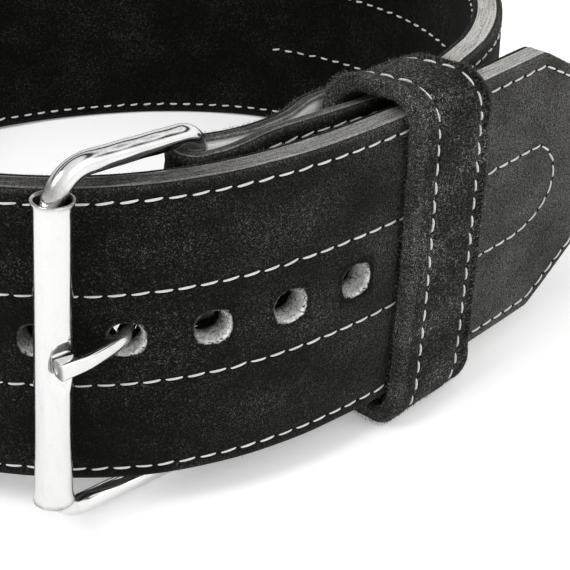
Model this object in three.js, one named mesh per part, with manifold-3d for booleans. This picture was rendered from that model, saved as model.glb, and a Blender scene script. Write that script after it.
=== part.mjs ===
// Weightlifting belt, fastened: a laminated leather strap with a single-prong roller buckle
// and a suede keeper. Millimetres, +Z up, the buckle in front at -Y and the tip to the right.
// The belt stands on its lower edge, its front held up a little by the buckle frame.
import * as THREE from 'three';
import * as BufferGeometryUtils from 'three/addons/utils/BufferGeometryUtils.js';
import Module from 'manifold-3d';

const wasm = await Module();
wasm.setup();

// Clearance between pieces that lie against each other.
const CLEAR = 0.3;

// Strap: its width, and its layers from the outer face inwards.
const BELT_WIDTH = 100;
const OUTER_SUEDE = 2.2;
const CORE = 6.7;
const INNER_SUEDE = 1.5;
// Height by which each suede stops short of the core at either edge.
const SUEDE_INSET = 0.3;

// Strap: lengths measured along it. The tongue runs from the fastened hole to the tip.
const TONGUE_LENGTH = 220;
const ROUND_LENGTH = 737;
const TIP_TAPER = 50;
const TIP_DROP = 24;
const TIP_CORNER = 7;

// Holes, counted from the one that the prong goes through.
const HOLE_PITCH = 25;
const HOLES_TOWARDS_TIP = 4;
const HOLES_BEHIND = 2;
const HOLE_PLAY = 5.4;
const HOLE_RISE = 1;

// Buckle end of the strap: its thinned ply, the fold round the bar and the return ply.
const PLY_LEATHER = 2.9;
const BAR_PLAY = 0.6;
const FOLD_CLEAR = 0.5;
const PLY_SPREAD = 7.2;
const PLY_EASE = 5;
const SKIVE_FROM = 88;
const SKIVE_TO = 116;
const ROUND_END_AT = 160;
const INNER_SUEDE_END_AT = 134.5;
const RETURN_END_AT = 149;
const RETURN_CORNER = 9;
const SLOT_HEIGHT = 13;
const SLOT_REACH = 12;

// Buckle: places along the tongue from the fastened hole, and sizes.
const BAR_AT = 24.4;
const ROLLER_AT = -18.8;
const ROD = 7;
const FRAME_HEADROOM = 9;
const FRAME_DROP = 0.8;
const FRAME_LEAN = 4.6;
const FRAME_BEND = 7.2;
const ROLLER_LENGTH_SPARE = 0.8;
const ROLLER_PLAY = 1.25;
const ROLLER_WALL = 1;
const ROLLER_FLARE = 0.95;
const FLARE_LENGTH = 5;
const DENT_DEPTH = 2.3;
const DENT_HEIGHT = 9;
const DENT_TURN = 40;
const PRONG = 5.6;
const PRONG_TIP_HEIGHT = 5.8;
const PRONG_TIP_DEPTH = 5;
const PRONG_TIP_LENGTH = 4.5;
const EYE_WALL = 2.2;
const EYE_HEIGHT = 8;

// Keeper: a flat loop of folded suede.
const KEEPER_AT = 111.5;
const KEEPER_WIDTH = 41;
const KEEPER_THICKNESS = 6.2;
const KEEPER_EASE = 0.6;
const KEEPER_ARCH = 5.8;
const KEEPER_SKEW = 5;
const KEEPER_SLANT = 0.17;
// Half sizes of the ellipses that round the loop's corners, across the stack and up.
const KEEPER_INNER_CORNER = { across: 10, up: 12 };
const KEEPER_OUTER_TOP = { across: 9, up: 10 };
const KEEPER_OUTER_FOOT = { across: 9, up: 13 };

// A quarter turn, in degrees.
const QUARTER = 90;

// Heading of the strap at the fastened hole, towards the tip, in degrees from +X.
const HOLE_HEADING = 8.3;

// Lay of the tongue from the fastened hole to the tip: run as a share of the tongue's
// length, turn in degrees, anticlockwise seen from above.
const TONGUE_LAY = [
  { run: 0.091, turn: 11.1 },
  { run: 0.091, turn: 9.6 },
  { run: 0.091, turn: 7.4 },
  { run: 0.091, turn: 5.0 },
  { run: 0.091, turn: 3.0 },
  { run: 0.091, turn: 1.6 },
  { run: 0.091, turn: 0.8 },
  { run: 0.363, turn: 0 },
];

// Lay of the belt from the fastened hole round the wearer's left, back and right: run as a
// share of the length round, turn in degrees.
const ROUND_LAY = [
  { run: 0.027, turn: -10.9 },
  { run: 0.027, turn: -8.3 },
  { run: 0.158, turn: -38.5 },
  { run: 0.158, turn: -52.5 },
  { run: 0.158, turn: -49.6 },
  { run: 0.081, turn: -17.1 },
  { run: 0.081, turn: -20.0 },
  { run: 0.081, turn: -26.9 },
  { run: 0.081, turn: -29.2 },
  { run: 0.081, turn: -27.2 },
  { run: 0.067, turn: -22.2 },
];

// Stack of plies inside the tongue, at shares of the tongue's length from the fastened hole.
// part: gap between the tongue and the ply, as a share of PLY_SPREAD. round: how far the ply
// and its return stand apart, as a share of the bar's pocket. over: the same for the keeper.
const STACK = [
  { at: 0.11, part: 0.07, round: 1, over: 0 },
  { at: 0.16, part: 0.18, round: 0.87, over: 0 },
  { at: 0.19, part: 0.33, round: 0.58, over: 0 },
  { at: 0.227, part: 0.69, round: 0.22, over: 0 },
  { at: 0.26, part: 0.96, round: 0, over: 0 },
  { at: 0.3, part: 0.95, round: 0, over: 0.15 },
  { at: 0.327, part: 0.93, round: 0, over: 0.4 },
  { at: 0.355, part: 0.89, round: 0, over: 0.8 },
  { at: 0.375, part: 0.85, round: 0, over: 1 },
  { at: 0.4, part: 0.78, round: 0, over: 1 },
  { at: 0.455, part: 0.57, round: 0, over: 1 },
  { at: 0.5, part: 0.43, round: 0, over: 1 },
  { at: 0.55, part: 0.34, round: 0, over: 1 },
  { at: 0.6, part: 0.38, round: 0, over: 1 },
  { at: 0.636, part: 0.51, round: 0, over: 0.42 },
  { at: 0.673, part: 0.76, round: 0, over: 0.1 },
  { at: 0.727, part: 1.19, round: 0, over: 0.02 },
  { at: 0.782, part: 1.75, round: 0, over: 0 },
];

// Steps along the parts of the strap, and round the buckle's parts.
const TONGUE_STEPS = 26;
const ROUND_STEPS = 78;
const STACK_STEPS = 34;
const FOLD_STEPS = 10;
const HOLE_SIDES = 16;
const ROD_SIDES = 12;
const ROLLER_SIDES = 24;
const BEND_STEPS = 5;
const CORNER_STEPS = 6;
const PRONG_STEPS = 22;

// Sizes that follow from the ones above.
const RAD = Math.PI / 180;
const THICKNESS = OUTER_SUEDE + CORE + INNER_SUEDE + 2 * CLEAR;
const CORE_DEPTH = OUTER_SUEDE + CLEAR + CORE;
const PLY_DEPTH = OUTER_SUEDE + CLEAR + PLY_LEATHER;
const MIDDLE = BELT_WIDTH / 2;
const HOLE_HEIGHT = MIDDLE + HOLE_RISE;
const HOLE = PRONG + HOLE_PLAY;
const POCKET = ROD + 2 * BAR_PLAY;
const ROLLER_RADIUS = ROD / 2 + ROLLER_PLAY + ROLLER_WALL;
const MOUTH_RADIUS = ROLLER_RADIUS + ROLLER_FLARE;
const ROLLER_LENGTH = BELT_WIDTH + ROLLER_LENGTH_SPARE;
const FRAME_HEIGHT = BELT_WIDTH + FRAME_HEADROOM + ROD;
const LEAN = FRAME_LEAN * RAD;

const clamp01 = (t) => Math.min(1, Math.max(0, t));
const smooth = (t) => clamp01(t) ** 2 * (3 - 2 * clamp01(t));
const mix = (a, b, t) => a + (b - a) * t;

// Places spread evenly between two ends, both included.
const spread = (from, to, steps) => Array.from(
  { length: steps + 1 }, (_, step) => mix(from, to, step / steps));

// Moves a point of a plan by a distance along a heading in radians.
function stepFrom(point, heading, distance) {
  return {
    x: point.x + distance * Math.cos(heading),
    y: point.y + distance * Math.sin(heading),
  };
}

// Follows a lay of arcs for a distance and gives the point and heading reached there.
function follow(lay, length, heading, distance) {
  let place = { x: 0, y: 0 };
  let left = distance;
  let now = heading;
  for (const [index, row] of lay.entries()) {
    const whole = row.run * length;
    const last = index === lay.length - 1;
    const run = last ? left : Math.min(left, whole);
    const turn = row.turn * RAD * (run / whole);
    const chord = Math.abs(turn) > 1e-9 ? run * Math.sin(turn / 2) / (turn / 2) : run;
    place = stepFrom(place, now + turn / 2, chord);
    now += turn;
    left -= run;
    if (left <= 0) break;
  }
  return { x: place.x, y: place.y, heading: now };
}

// The lay round the body, before its far end is brought to the tongue.
const looseRound = (distance) => follow(
  ROUND_LAY, ROUND_LENGTH, (HOLE_HEADING + 180) * RAD, distance);

// Centre line of the tongue at a place from the fastened hole. Places behind the hole are
// negative and lie on the lay round the body.
function tongueAt(place) {
  if (place >= 0) return follow(TONGUE_LAY, TONGUE_LENGTH, HOLE_HEADING * RAD, place);
  const back = looseRound(-place);
  return { x: back.x, y: back.y, heading: back.heading - Math.PI };
}

// A point beside the tongue's centre line, at a distance inwards, towards the wearer.
function besideTongue(place, inwards) {
  const base = tongueAt(place);
  return stepFrom(base, base.heading + Math.PI / 2, inwards);
}

// A value of the table of plies at a share of the tongue's length.
function stackRow(share, column) {
  const above = STACK.findIndex((row) => row.at > share);
  if (above === 0) return STACK[0][column];
  if (above < 0) return STACK[STACK.length - 1][column];
  const low = STACK[above - 1];
  const high = STACK[above];
  return mix(low[column], high[column], (share - low.at) / (high.at - low.at));
}

// A value of the table at a place along the tongue, averaged over a short run so that the
// plies bend gently.
function fromStack(place, column) {
  const around = spread(place - PLY_EASE, place + PLY_EASE, 6);
  const values = around.map((spot) => stackRow(spot / TONGUE_LENGTH, column));
  return values.reduce((sum, value) => sum + value, 0) / values.length;
}

// Depth of the core's inner face below the strap's outer face, thinned towards the buckle.
const coreDepthAt = (place) => mix(
  PLY_DEPTH, CORE_DEPTH, smooth((place - SKIVE_FROM) / (SKIVE_TO - SKIVE_FROM)));

// Distance inwards from the tongue's centre line to the ply's outer face.
const plyFaceAt = (place) => (
  THICKNESS / 2 + FOLD_CLEAR + fromStack(place, 'part') * PLY_SPREAD);

// Depth of everything that the return ply lies over. It climbs over the end of the inner
// suede.
const coveredDepthAt = (place) => mix(
  coreDepthAt(place), THICKNESS, smooth((place - INNER_SUEDE_END_AT) / PLY_EASE + 1));

// Distance inwards from the tongue's centre line to the middle of the keeper's inner run.
const keeperInwards = plyFaceAt(KEEPER_AT) + CORE_DEPTH + KEEPER_EASE + KEEPER_THICKNESS / 2;

// Distance inwards from the tongue's centre line to the return ply's far face. The return
// lies on the ply, round the bar's pocket, or over the keeper.
function returnFaceAt(place) {
  const pocket = fromStack(place, 'round') * (POCKET - FOLD_CLEAR);
  const onPly = plyFaceAt(place) + coveredDepthAt(place) + FOLD_CLEAR + pocket;
  const onKeeper = keeperInwards + KEEPER_THICKNESS / 2 + KEEPER_EASE;
  return mix(onPly, onKeeper, fromStack(place, 'over')) + PLY_DEPTH;
}

// Centre line round the body at a distance from the fastened hole. A small share of the
// closing miss is taken up at each step, so that the far end meets the stack of plies.
const closing = (() => {
  const target = besideTongue(ROUND_END_AT, plyFaceAt(ROUND_END_AT) + THICKNESS / 2);
  const loose = looseRound(ROUND_LENGTH);
  return { x: target.x - loose.x, y: target.y - loose.y };
})();

function roundAt(distance) {
  const loose = looseRound(distance);
  const share = distance / ROUND_LENGTH;
  return {
    x: loose.x + share * closing.x,
    y: loose.y + share * closing.y,
    heading: loose.heading,
  };
}

// Outer face of the strap's tongue and round, from the tip to the stack of plies.
function outerFaceOfRound() {
  const half = THICKNESS / 2;
  const tongue = spread(TONGUE_LENGTH, 0, TONGUE_STEPS).map((place) => (
    { ...besideTongue(place, -half), depth: CORE_DEPTH, suede: true }));
  const round = spread(0, ROUND_LENGTH, ROUND_STEPS).slice(1, -1).map((distance) => {
    const base = roundAt(distance);
    const outward = stepFrom(base, base.heading - Math.PI / 2, -half);
    return { x: outward.x, y: outward.y, depth: CORE_DEPTH, suede: true };
  });
  return [...tongue, ...round];
}

// Outer face of the thinned ply, the fold round the bar and the return ply. The fold lies at
// foldAt, which differs between the strap's lower and upper edge because the bar leans.
function outerFaceOfStack(foldAt) {
  const ply = spread(ROUND_END_AT, foldAt, STACK_STEPS).map((place) => ({
    ...besideTongue(place, plyFaceAt(place)),
    depth: coreDepthAt(place),
    suede: place > INNER_SUEDE_END_AT,
  }));
  const back = spread(foldAt, RETURN_END_AT, STACK_STEPS).map((place) => (
    { ...besideTongue(place, returnFaceAt(place)), depth: PLY_DEPTH, suede: false }));
  const near = ply[ply.length - 1];
  const far = back[0];
  const centre = { x: (near.x + far.x) / 2, y: (near.y + far.y) / 2 };
  const radius = Math.hypot(far.x - near.x, far.y - near.y) / 2;
  const start = Math.atan2(near.y - centre.y, near.x - centre.x);
  const fold = spread(0, Math.PI, FOLD_STEPS).slice(1, -1).map((angle) => (
    { ...stepFrom(centre, start - angle, radius), depth: PLY_DEPTH, suede: false }));
  return [...ply, ...fold, ...back];
}

// The whole outer face with the outward direction at each station.
function strapStations(foldAt) {
  const face = [...outerFaceOfRound(), ...outerFaceOfStack(foldAt)];
  return face.map((station, index) => {
    const before = face[Math.max(0, index - 1)];
    const after = face[Math.min(face.length - 1, index + 1)];
    const run = Math.hypot(after.x - before.x, after.y - before.y);
    const out = { x: -(after.y - before.y) / run, y: (after.x - before.x) / run };
    return { ...station, out };
  });
}

// Plan outline of one layer, between two depths below the outer face.
function layerOutline(stations, from, to) {
  const at = (station, depth) => ({
    x: station.x - station.out.x * depth,
    y: station.y - station.out.y * depth,
  });
  const near = stations.map((station) => at(station, from(station)));
  const far = stations.map((station) => at(station, to(station))).reverse();
  return [...near, ...far];
}

// A closed wall between a lower and an upper plan outline of as many points. Each side is
// split along its shorter diagonal, so that neighbouring layers split alike.
function wall(lower, upper, bottom, top) {
  const contour = upper.map((point) => new THREE.Vector2(point.x, point.y));
  const turned = THREE.ShapeUtils.isClockWise(contour);
  const low = turned ? [...lower].reverse() : lower;
  const high = turned ? [...upper].reverse() : upper;
  if (turned) contour.reverse();
  const count = high.length;
  const positions = [
    ...low.flatMap((point) => [point.x, point.y, bottom]),
    ...high.flatMap((point) => [point.x, point.y, top]),
  ];
  const caps = THREE.ShapeUtils.triangulateShape(contour, []).flatMap(([a, b, c]) => (
    [a + count, b + count, c + count, a, c, b]));
  const sides = high.flatMap((_, here) => {
    const next = (here + 1) % count;
    const rising = Math.hypot(low[here].x - high[next].x, low[here].y - high[next].y);
    const falling = Math.hypot(low[next].x - high[here].x, low[next].y - high[here].y);
    if (rising < falling) return [here, next, next + count, here, next + count, here + count];
    return [here, next, here + count, next, next + count, here + count];
  });
  const geometry = new THREE.BufferGeometry();
  geometry.setAttribute('position', new THREE.Float32BufferAttribute(positions, 3));
  geometry.setIndex([...caps, ...sides]);
  return geometry;
}

// A closed skin over rings of points. The rings close on each other, or end in flat caps.
function skin(rings, closed) {
  const sides = rings[0].length;
  const count = rings.length;
  const index = [];
  for (let ring = 0; ring < (closed ? count : count - 1); ring += 1) {
    const here = ring * sides;
    const next = ((ring + 1) % count) * sides;
    for (let side = 0; side < sides; side += 1) {
      const other = (side + 1) % sides;
      index.push(here + side, here + other, next + other);
      index.push(here + side, next + other, next + side);
    }
  }
  if (!closed) {
    const end = (count - 1) * sides;
    for (let side = 1; side < sides - 1; side += 1) {
      index.push(0, side + 1, side);
      index.push(end, end + side, end + side + 1);
    }
  }
  const geometry = new THREE.BufferGeometry();
  const positions = rings.flat().flatMap((point) => point.toArray());
  geometry.setAttribute('position', new THREE.Float32BufferAttribute(positions, 3));
  geometry.setIndex(index);
  return geometry;
}

// Turns a closed geometry into a solid that can be cut.
function solidOf(geometry) {
  const plain = geometry.clone();
  plain.deleteAttribute('normal');
  plain.deleteAttribute('uv');
  const merged = BufferGeometryUtils.mergeVertices(plain);
  return new wasm.Manifold(new wasm.Mesh({
    numProp: 3,
    vertProperties: new Float32Array(merged.attributes.position.array),
    triVerts: new Uint32Array(merged.index.array),
  }));
}

// Turns a solid back into a geometry.
function geometryOf(solid) {
  const mesh = solid.getMesh();
  const geometry = new THREE.BufferGeometry();
  geometry.setAttribute('position', new THREE.BufferAttribute(mesh.vertProperties, 3));
  geometry.setIndex(new THREE.BufferAttribute(mesh.triVerts, 1));
  return geometry;
}

// Cuts a list of tools out of a geometry.
const cut = (geometry, tools) => geometryOf(
  tools.reduce((solid, tool) => solid.subtract(solidOf(tool)), solidOf(geometry)));

// Places a tool at a place beside the tongue: its X along the tongue, its Y inwards.
function placeBeside(geometry, place, inwards, height) {
  const point = besideTongue(place, inwards);
  geometry.rotateZ(tongueAt(place).heading);
  geometry.translate(point.x, point.y, height);
  return geometry;
}

// The row of holes through the tongue.
function holeCutters() {
  const places = spread(-HOLES_BEHIND, HOLES_TOWARDS_TIP, HOLES_BEHIND + HOLES_TOWARDS_TIP);
  return places.map((step) => placeBeside(
    new THREE.CylinderGeometry(HOLE / 2, HOLE / 2, THICKNESS + FOLD_CLEAR, HOLE_SIDES),
    step * HOLE_PITCH, 0, HOLE_HEIGHT));
}

// A wedge that trims a corner off a strap end. Its outline is given along the strap and up,
// and it is as thick as asked.
function trimmer(points, thickness) {
  const outline = new THREE.Shape(points.map(([along, up]) => new THREE.Vector2(along, up)));
  const wedge = new THREE.ExtrudeGeometry(outline, { depth: thickness, bevelEnabled: false });
  wedge.rotateX(Math.PI / 2);
  wedge.translate(0, thickness / 2, 0);
  return wedge;
}

// Wedges that taper the tip to its narrow end with eased corners.
function tipCutters() {
  const past = TIP_CORNER;
  const upper = [
    [-TIP_TAPER, BELT_WIDTH],
    [-TIP_CORNER, BELT_WIDTH - TIP_DROP],
    [0, BELT_WIDTH - TIP_DROP - TIP_CORNER],
    [past, BELT_WIDTH - TIP_DROP - TIP_CORNER],
    [past, BELT_WIDTH + past],
    [-TIP_TAPER, BELT_WIDTH + past],
  ];
  const lower = upper.map(([along, up]) => [along, BELT_WIDTH - up]);
  return [upper, lower].map((points) => placeBeside(
    trimmer(points, 4 * THICKNESS), TONGUE_LENGTH, 0, 0));
}

// Wedges that trim the two corners of the return ply's end.
function returnCutters() {
  const upper = [
    [-RETURN_CORNER, BELT_WIDTH],
    [CLEAR, BELT_WIDTH - RETURN_CORNER],
    [RETURN_CORNER, BELT_WIDTH - RETURN_CORNER],
    [RETURN_CORNER, BELT_WIDTH + CLEAR],
    [-RETURN_CORNER, BELT_WIDTH + CLEAR],
  ];
  const lower = upper.map(([along, up]) => [along, BELT_WIDTH - up]);
  const middle = returnFaceAt(RETURN_END_AT) - PLY_DEPTH / 2;
  return [upper, lower].map((points) => placeBeside(
    trimmer(points, PLY_DEPTH + CLEAR), RETURN_END_AT, middle, 0));
}

// The bar's centre line: how far inside the tongue it lies.
const barInwards = (plyFaceAt(BAR_AT) + returnFaceAt(BAR_AT)) / 2;

// The slot in the fold, through both plies, that lets the prong's eye round the bar.
function slotCutter() {
  const reach = BAR_AT + SLOT_REACH;
  const inner = returnFaceAt(BAR_AT) + CLEAR;
  const outer = THICKNESS / 2 + CLEAR / 2;
  const slot = new THREE.BoxGeometry(2 * SLOT_REACH + PLY_DEPTH, inner - outer, SLOT_HEIGHT);
  slot.translate(-(PLY_DEPTH / 2), 0, 0);
  return placeBeside(slot, reach - SLOT_REACH, (inner + outer) / 2, HOLE_HEIGHT);
}

// The three layers of the strap.
function strapLayers() {
  const bend = (tongueAt(BAR_AT + 1).heading - tongueAt(BAR_AT - 1).heading) / 2;
  const drift = MIDDLE * Math.tan(LEAN) / (1 - barInwards * bend);
  const low = strapStations(BAR_AT - drift);
  const high = strapStations(BAR_AT + drift);
  const suedeOnly = (stations) => stations.slice(0, stations.findIndex((s) => !s.suede));
  const layer = (pick, from, to, inset) => wall(
    layerOutline(pick(low), from, to), layerOutline(pick(high), from, to),
    inset, BELT_WIDTH - inset);
  const all = (stations) => stations;
  const throughTongue = [...holeCutters(), ...tipCutters()];
  const throughFold = [slotCutter(), ...returnCutters()];
  const outer = layer(all, () => 0, () => OUTER_SUEDE, SUEDE_INSET);
  const core = layer(all, () => OUTER_SUEDE + CLEAR, (s) => s.depth, 0);
  const inner = layer(
    suedeOnly, () => THICKNESS - INNER_SUEDE, () => THICKNESS, SUEDE_INSET);
  return {
    outer: cut(outer, [...throughTongue, ...throughFold]),
    core: cut(core, [...throughTongue, ...throughFold]),
    inner: cut(inner, throughTongue),
  };
}

// Upright leaning axis of the buckle: it leans along the tongue at the bar.
const leanHeading = tongueAt(BAR_AT).heading;
const frameUp = new THREE.Vector3(
  Math.sin(LEAN) * Math.cos(leanHeading),
  Math.sin(LEAN) * Math.sin(leanHeading),
  Math.cos(LEAN));

// Middle of the roller, held off the tongue by its leaning mouth.
const rollerMiddle = (() => {
  const slew = Math.abs(Math.sin(leanHeading - tongueAt(ROLLER_AT).heading));
  const drift = ROLLER_LENGTH / 2 * Math.sin(LEAN) * slew;
  const point = besideTongue(ROLLER_AT, -(THICKNESS / 2 + CLEAR + MOUTH_RADIUS + drift));
  return new THREE.Vector3(point.x, point.y, 0);
})();

const barMiddle = (() => {
  const point = besideTongue(BAR_AT, barInwards);
  return new THREE.Vector3(point.x, point.y, 0);
})();

// Heading from the roller's axis to the flat that the prong presses into it.
const dentHeading = tongueAt(ROLLER_AT).heading - Math.PI / 2 + DENT_TURN * RAD;

// The buckle's own axes: forth runs from the roller to the bar, up along both. The rod lies
// against the roller's bore on the side away from the prong.
const buckle = (() => {
  const seated = stepFrom(rollerMiddle, dentHeading, CLEAR - ROLLER_PLAY);
  const front = new THREE.Vector3(seated.x, seated.y, 0);
  const level = barMiddle.clone().sub(front).normalize();
  const forth = level.clone().addScaledVector(frameUp, -level.dot(frameUp)).normalize();
  const side = new THREE.Vector3().crossVectors(frameUp, forth);
  const reach = front.distanceTo(barMiddle) / Math.hypot(forth.x, forth.y);
  const centre = front.clone().add(barMiddle).multiplyScalar(0.5);
  centre.z = MIDDLE - FRAME_DROP;
  return { forth, side, reach, centre };
})();

// A point of the buckle's plane, by its distances forth and up from the middle.
const onBuckle = (forth, up) => buckle.centre.clone()
  .addScaledVector(buckle.forth, forth)
  .addScaledVector(frameUp, up);

// A point at a height on the line through a foot along the buckle's up axis.
const upAlong = (foot, height) => foot.clone().addScaledVector(
  frameUp, (height - foot.z) / frameUp.z);

// Middles of the bar and of the roller, at the heights that the frame's pitch gives them.
const barFoot = barMiddle.clone().setZ(onBuckle(buckle.reach / 2, 0).z);
const rollerFoot = rollerMiddle.clone().setZ(onBuckle(-buckle.reach / 2, 0).z);

// Points along one rounded rectangle, given by its half sizes and corner radius.
function roundedRectangle(halfAcross, halfUp, radius, steps) {
  const corners = [
    { across: 1, up: -1, from: -QUARTER },
    { across: 1, up: 1, from: 0 },
    { across: -1, up: 1, from: QUARTER },
    { across: -1, up: -1, from: 2 * QUARTER },
  ];
  return corners.flatMap((corner) => spread(0, QUARTER, steps).map((angle) => {
    const bearing = (corner.from + angle) * RAD;
    return {
      across: corner.across * (halfAcross - radius) + radius * Math.cos(bearing),
      up: corner.up * (halfUp - radius) + radius * Math.sin(bearing),
      bearing,
    };
  }));
}

// The frame: one rod bent to a rectangle and closed.
function frameGeometry() {
  const path = roundedRectangle(buckle.reach / 2, FRAME_HEIGHT / 2, FRAME_BEND, BEND_STEPS);
  const rings = path.map((spot) => {
    const middle = onBuckle(spot.across, spot.up);
    const outward = onBuckle(
      spot.across + Math.cos(spot.bearing), spot.up + Math.sin(spot.bearing)).sub(middle);
    return spread(0, 360, ROD_SIDES).slice(0, -1).map((angle) => middle.clone()
      .addScaledVector(outward, ROD / 2 * Math.cos(angle * RAD))
      .addScaledVector(buckle.side, ROD / 2 * Math.sin(angle * RAD)));
  });
  return skin(rings, true);
}

// Depth of the flat in the roller. The wall stays clear of the rod inside.
const pressed = Math.min(DENT_DEPTH, 2 * (ROLLER_PLAY - CLEAR));

// The roller: a tube with flared mouths, pressed flat where the prong's tip sits.
function rollerGeometry() {
  const half = ROLLER_LENGTH / 2;
  const dent = (HOLE_HEIGHT - rollerFoot.z) / frameUp.z;
  const belly = [-1, -0.6, -0.2, 0.2, 0.6, 1].map((share) => dent + share * DENT_HEIGHT);
  const outside = [
    [MOUTH_RADIUS, -half],
    [ROLLER_RADIUS, -half + FLARE_LENGTH],
    ...belly.map((height) => [ROLLER_RADIUS, height]),
    [ROLLER_RADIUS, half - FLARE_LENGTH],
    [MOUTH_RADIUS, half],
  ];
  const inside = [...outside].reverse().map(([radius, up]) => [radius - ROLLER_WALL, up]);
  const profile = [...outside, ...inside, outside[0]].map(([r, up]) => new THREE.Vector2(r, up));
  const tube = new THREE.LatheGeometry(profile, ROLLER_SIDES);
  tube.deleteAttribute('normal');
  tube.deleteAttribute('uv');
  const merged = BufferGeometryUtils.mergeVertices(tube);
  merged.rotateX(Math.PI / 2);
  merged.rotateZ(-dentHeading);
  const spot = merged.attributes.position;
  for (let index = 0; index < spot.count; index += 1) {
    const high = (spot.getZ(index) - dent) / DENT_HEIGHT;
    const radius = Math.hypot(spot.getX(index), spot.getY(index));
    const flat = radius - pressed * Math.max(0, 1 - high * high);
    spot.setX(index, Math.min(spot.getX(index), flat));
  }
  merged.rotateZ(dentHeading);
  const turn = new THREE.Quaternion().setFromUnitVectors(new THREE.Vector3(0, 0, 1), frameUp);
  merged.applyQuaternion(turn);
  merged.translate(rollerFoot.x, rollerFoot.y, rollerFoot.z);
  return merged;
}

// Route of the prong: from its eye, out through the fastened hole and on to its seat, where
// it lies along the flat in the roller.
function prongRoute() {
  const bar = upAlong(barFoot, HOLE_HEIGHT);
  const axis = upAlong(rollerFoot, HOLE_HEIGHT);
  const seat = stepFrom(
    axis, dentHeading, ROLLER_RADIUS - pressed + CLEAR + PRONG_TIP_DEPTH / 2);
  const onward = dentHeading - Math.PI / 2;
  const half = THICKNESS / 2;
  const eye = ROD / 2 + CLEAR + EYE_WALL / 2;
  const back = tongueAt(BAR_AT).heading + Math.PI;
  const spots = [
    stepFrom(bar, back, eye),
    stepFrom(bar, back, 2 * eye),
    besideTongue(PRONG, mix(half, barInwards, 0.6)),
    besideTongue(HOLE / 6, half),
    besideTongue(0, 0),
    besideTongue(-HOLE / 6, -half),
    stepFrom(seat, onward, -1.5 * PRONG),
    seat,
    stepFrom(seat, onward, PRONG_TIP_LENGTH),
  ];
  return new THREE.CatmullRomCurve3(
    spots.map((spot) => new THREE.Vector3(spot.x, spot.y, HOLE_HEIGHT)));
}

// The prong: an eye round the bar and a shank that flattens towards its squared tip.
function prongGeometry() {
  const route = prongRoute();
  const rings = spread(0, 1, PRONG_STEPS).map((share) => {
    const middle = route.getPointAt(share);
    const along = route.getTangentAt(share);
    const across = new THREE.Vector3(-along.y, along.x, 0).normalize();
    const flat = smooth((share - 0.6) / 0.4);
    const wide = mix(PRONG, PRONG_TIP_DEPTH, flat) / 2;
    const tall = mix(PRONG, PRONG_TIP_HEIGHT, flat) / 2;
    return spread(0, 360, ROD_SIDES).slice(0, -1).map((angle) => middle.clone()
      .addScaledVector(across, wide * Math.cos(angle * RAD))
      .add(new THREE.Vector3(0, 0, tall * Math.sin(angle * RAD))));
  });
  const inner = ROD / 2 + CLEAR;
  const outer = inner + EYE_WALL;
  const half = EYE_HEIGHT / 2;
  const profile = [[inner, -half], [outer, -half], [outer, half], [inner, half], [inner, -half]]
    .map(([radius, up]) => new THREE.Vector2(radius, up));
  const eye = new THREE.LatheGeometry(profile, ROLLER_SIDES);
  const bore = new THREE.CylinderGeometry(inner, inner, 2 * EYE_HEIGHT, ROLLER_SIDES);
  const turn = new THREE.Quaternion().setFromUnitVectors(new THREE.Vector3(0, 1, 0), frameUp);
  const bar = upAlong(barFoot, HOLE_HEIGHT);
  for (const round of [eye, bore]) {
    round.applyQuaternion(turn);
    round.translate(bar.x, bar.y, bar.z);
  }
  const joined = solidOf(skin(rings, false)).add(solidOf(eye)).subtract(solidOf(bore));
  return geometryOf(joined);
}

// The belt rests on the frame's lower corner and on the back of its lower edge, so its front
// stands up by an angle.
const restBack = Math.max(...strapStations(BAR_AT).map((station) => station.y));
const restAngle = (() => {
  const corner = onBuckle(buckle.reach / 2, -FRAME_HEIGHT / 2);
  return Math.atan2(ROD / 2 - corner.z, restBack - corner.y);
})();

// Height of the surface that the belt rests on, below a place in the belt's own frame.
const groundBelow = (point) => -Math.tan(restAngle) * (restBack - point.y);

// Middle surface of the keeper's loop: distances inwards from the tongue's centre line and up.
function keeperLoop() {
  const half = KEEPER_THICKNESS / 2;
  const outer = -(THICKNESS / 2 + KEEPER_EASE + half);
  const inner = keeperInwards;
  const top = BELT_WIDTH + KEEPER_ARCH + half;
  const bottom = groundBelow(besideTongue(KEEPER_AT, keeperInwards / 2)) + CLEAR + half;
  const corners = [
    { x: inner, z: bottom, size: KEEPER_INNER_CORNER, from: -QUARTER, sx: -1, sz: 1 },
    { x: inner, z: top, size: KEEPER_INNER_CORNER, from: 0, sx: -1, sz: -1 },
    { x: outer, z: top, size: KEEPER_OUTER_TOP, from: QUARTER, sx: 1, sz: -1 },
    { x: outer, z: bottom, size: KEEPER_OUTER_FOOT, from: 2 * QUARTER, sx: 1, sz: 1 },
  ];
  return corners.flatMap((corner) => spread(0, QUARTER, CORNER_STEPS).map((angle) => {
    const bearing = (corner.from + angle) * RAD;
    const { across, up } = corner.size;
    return {
      inwards: corner.x + corner.sx * across + across * Math.cos(bearing),
      up: corner.z + corner.sz * up + up * Math.sin(bearing),
      bearing: Math.atan2(across * Math.sin(bearing), up * Math.cos(bearing)),
    };
  }));
}

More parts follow.
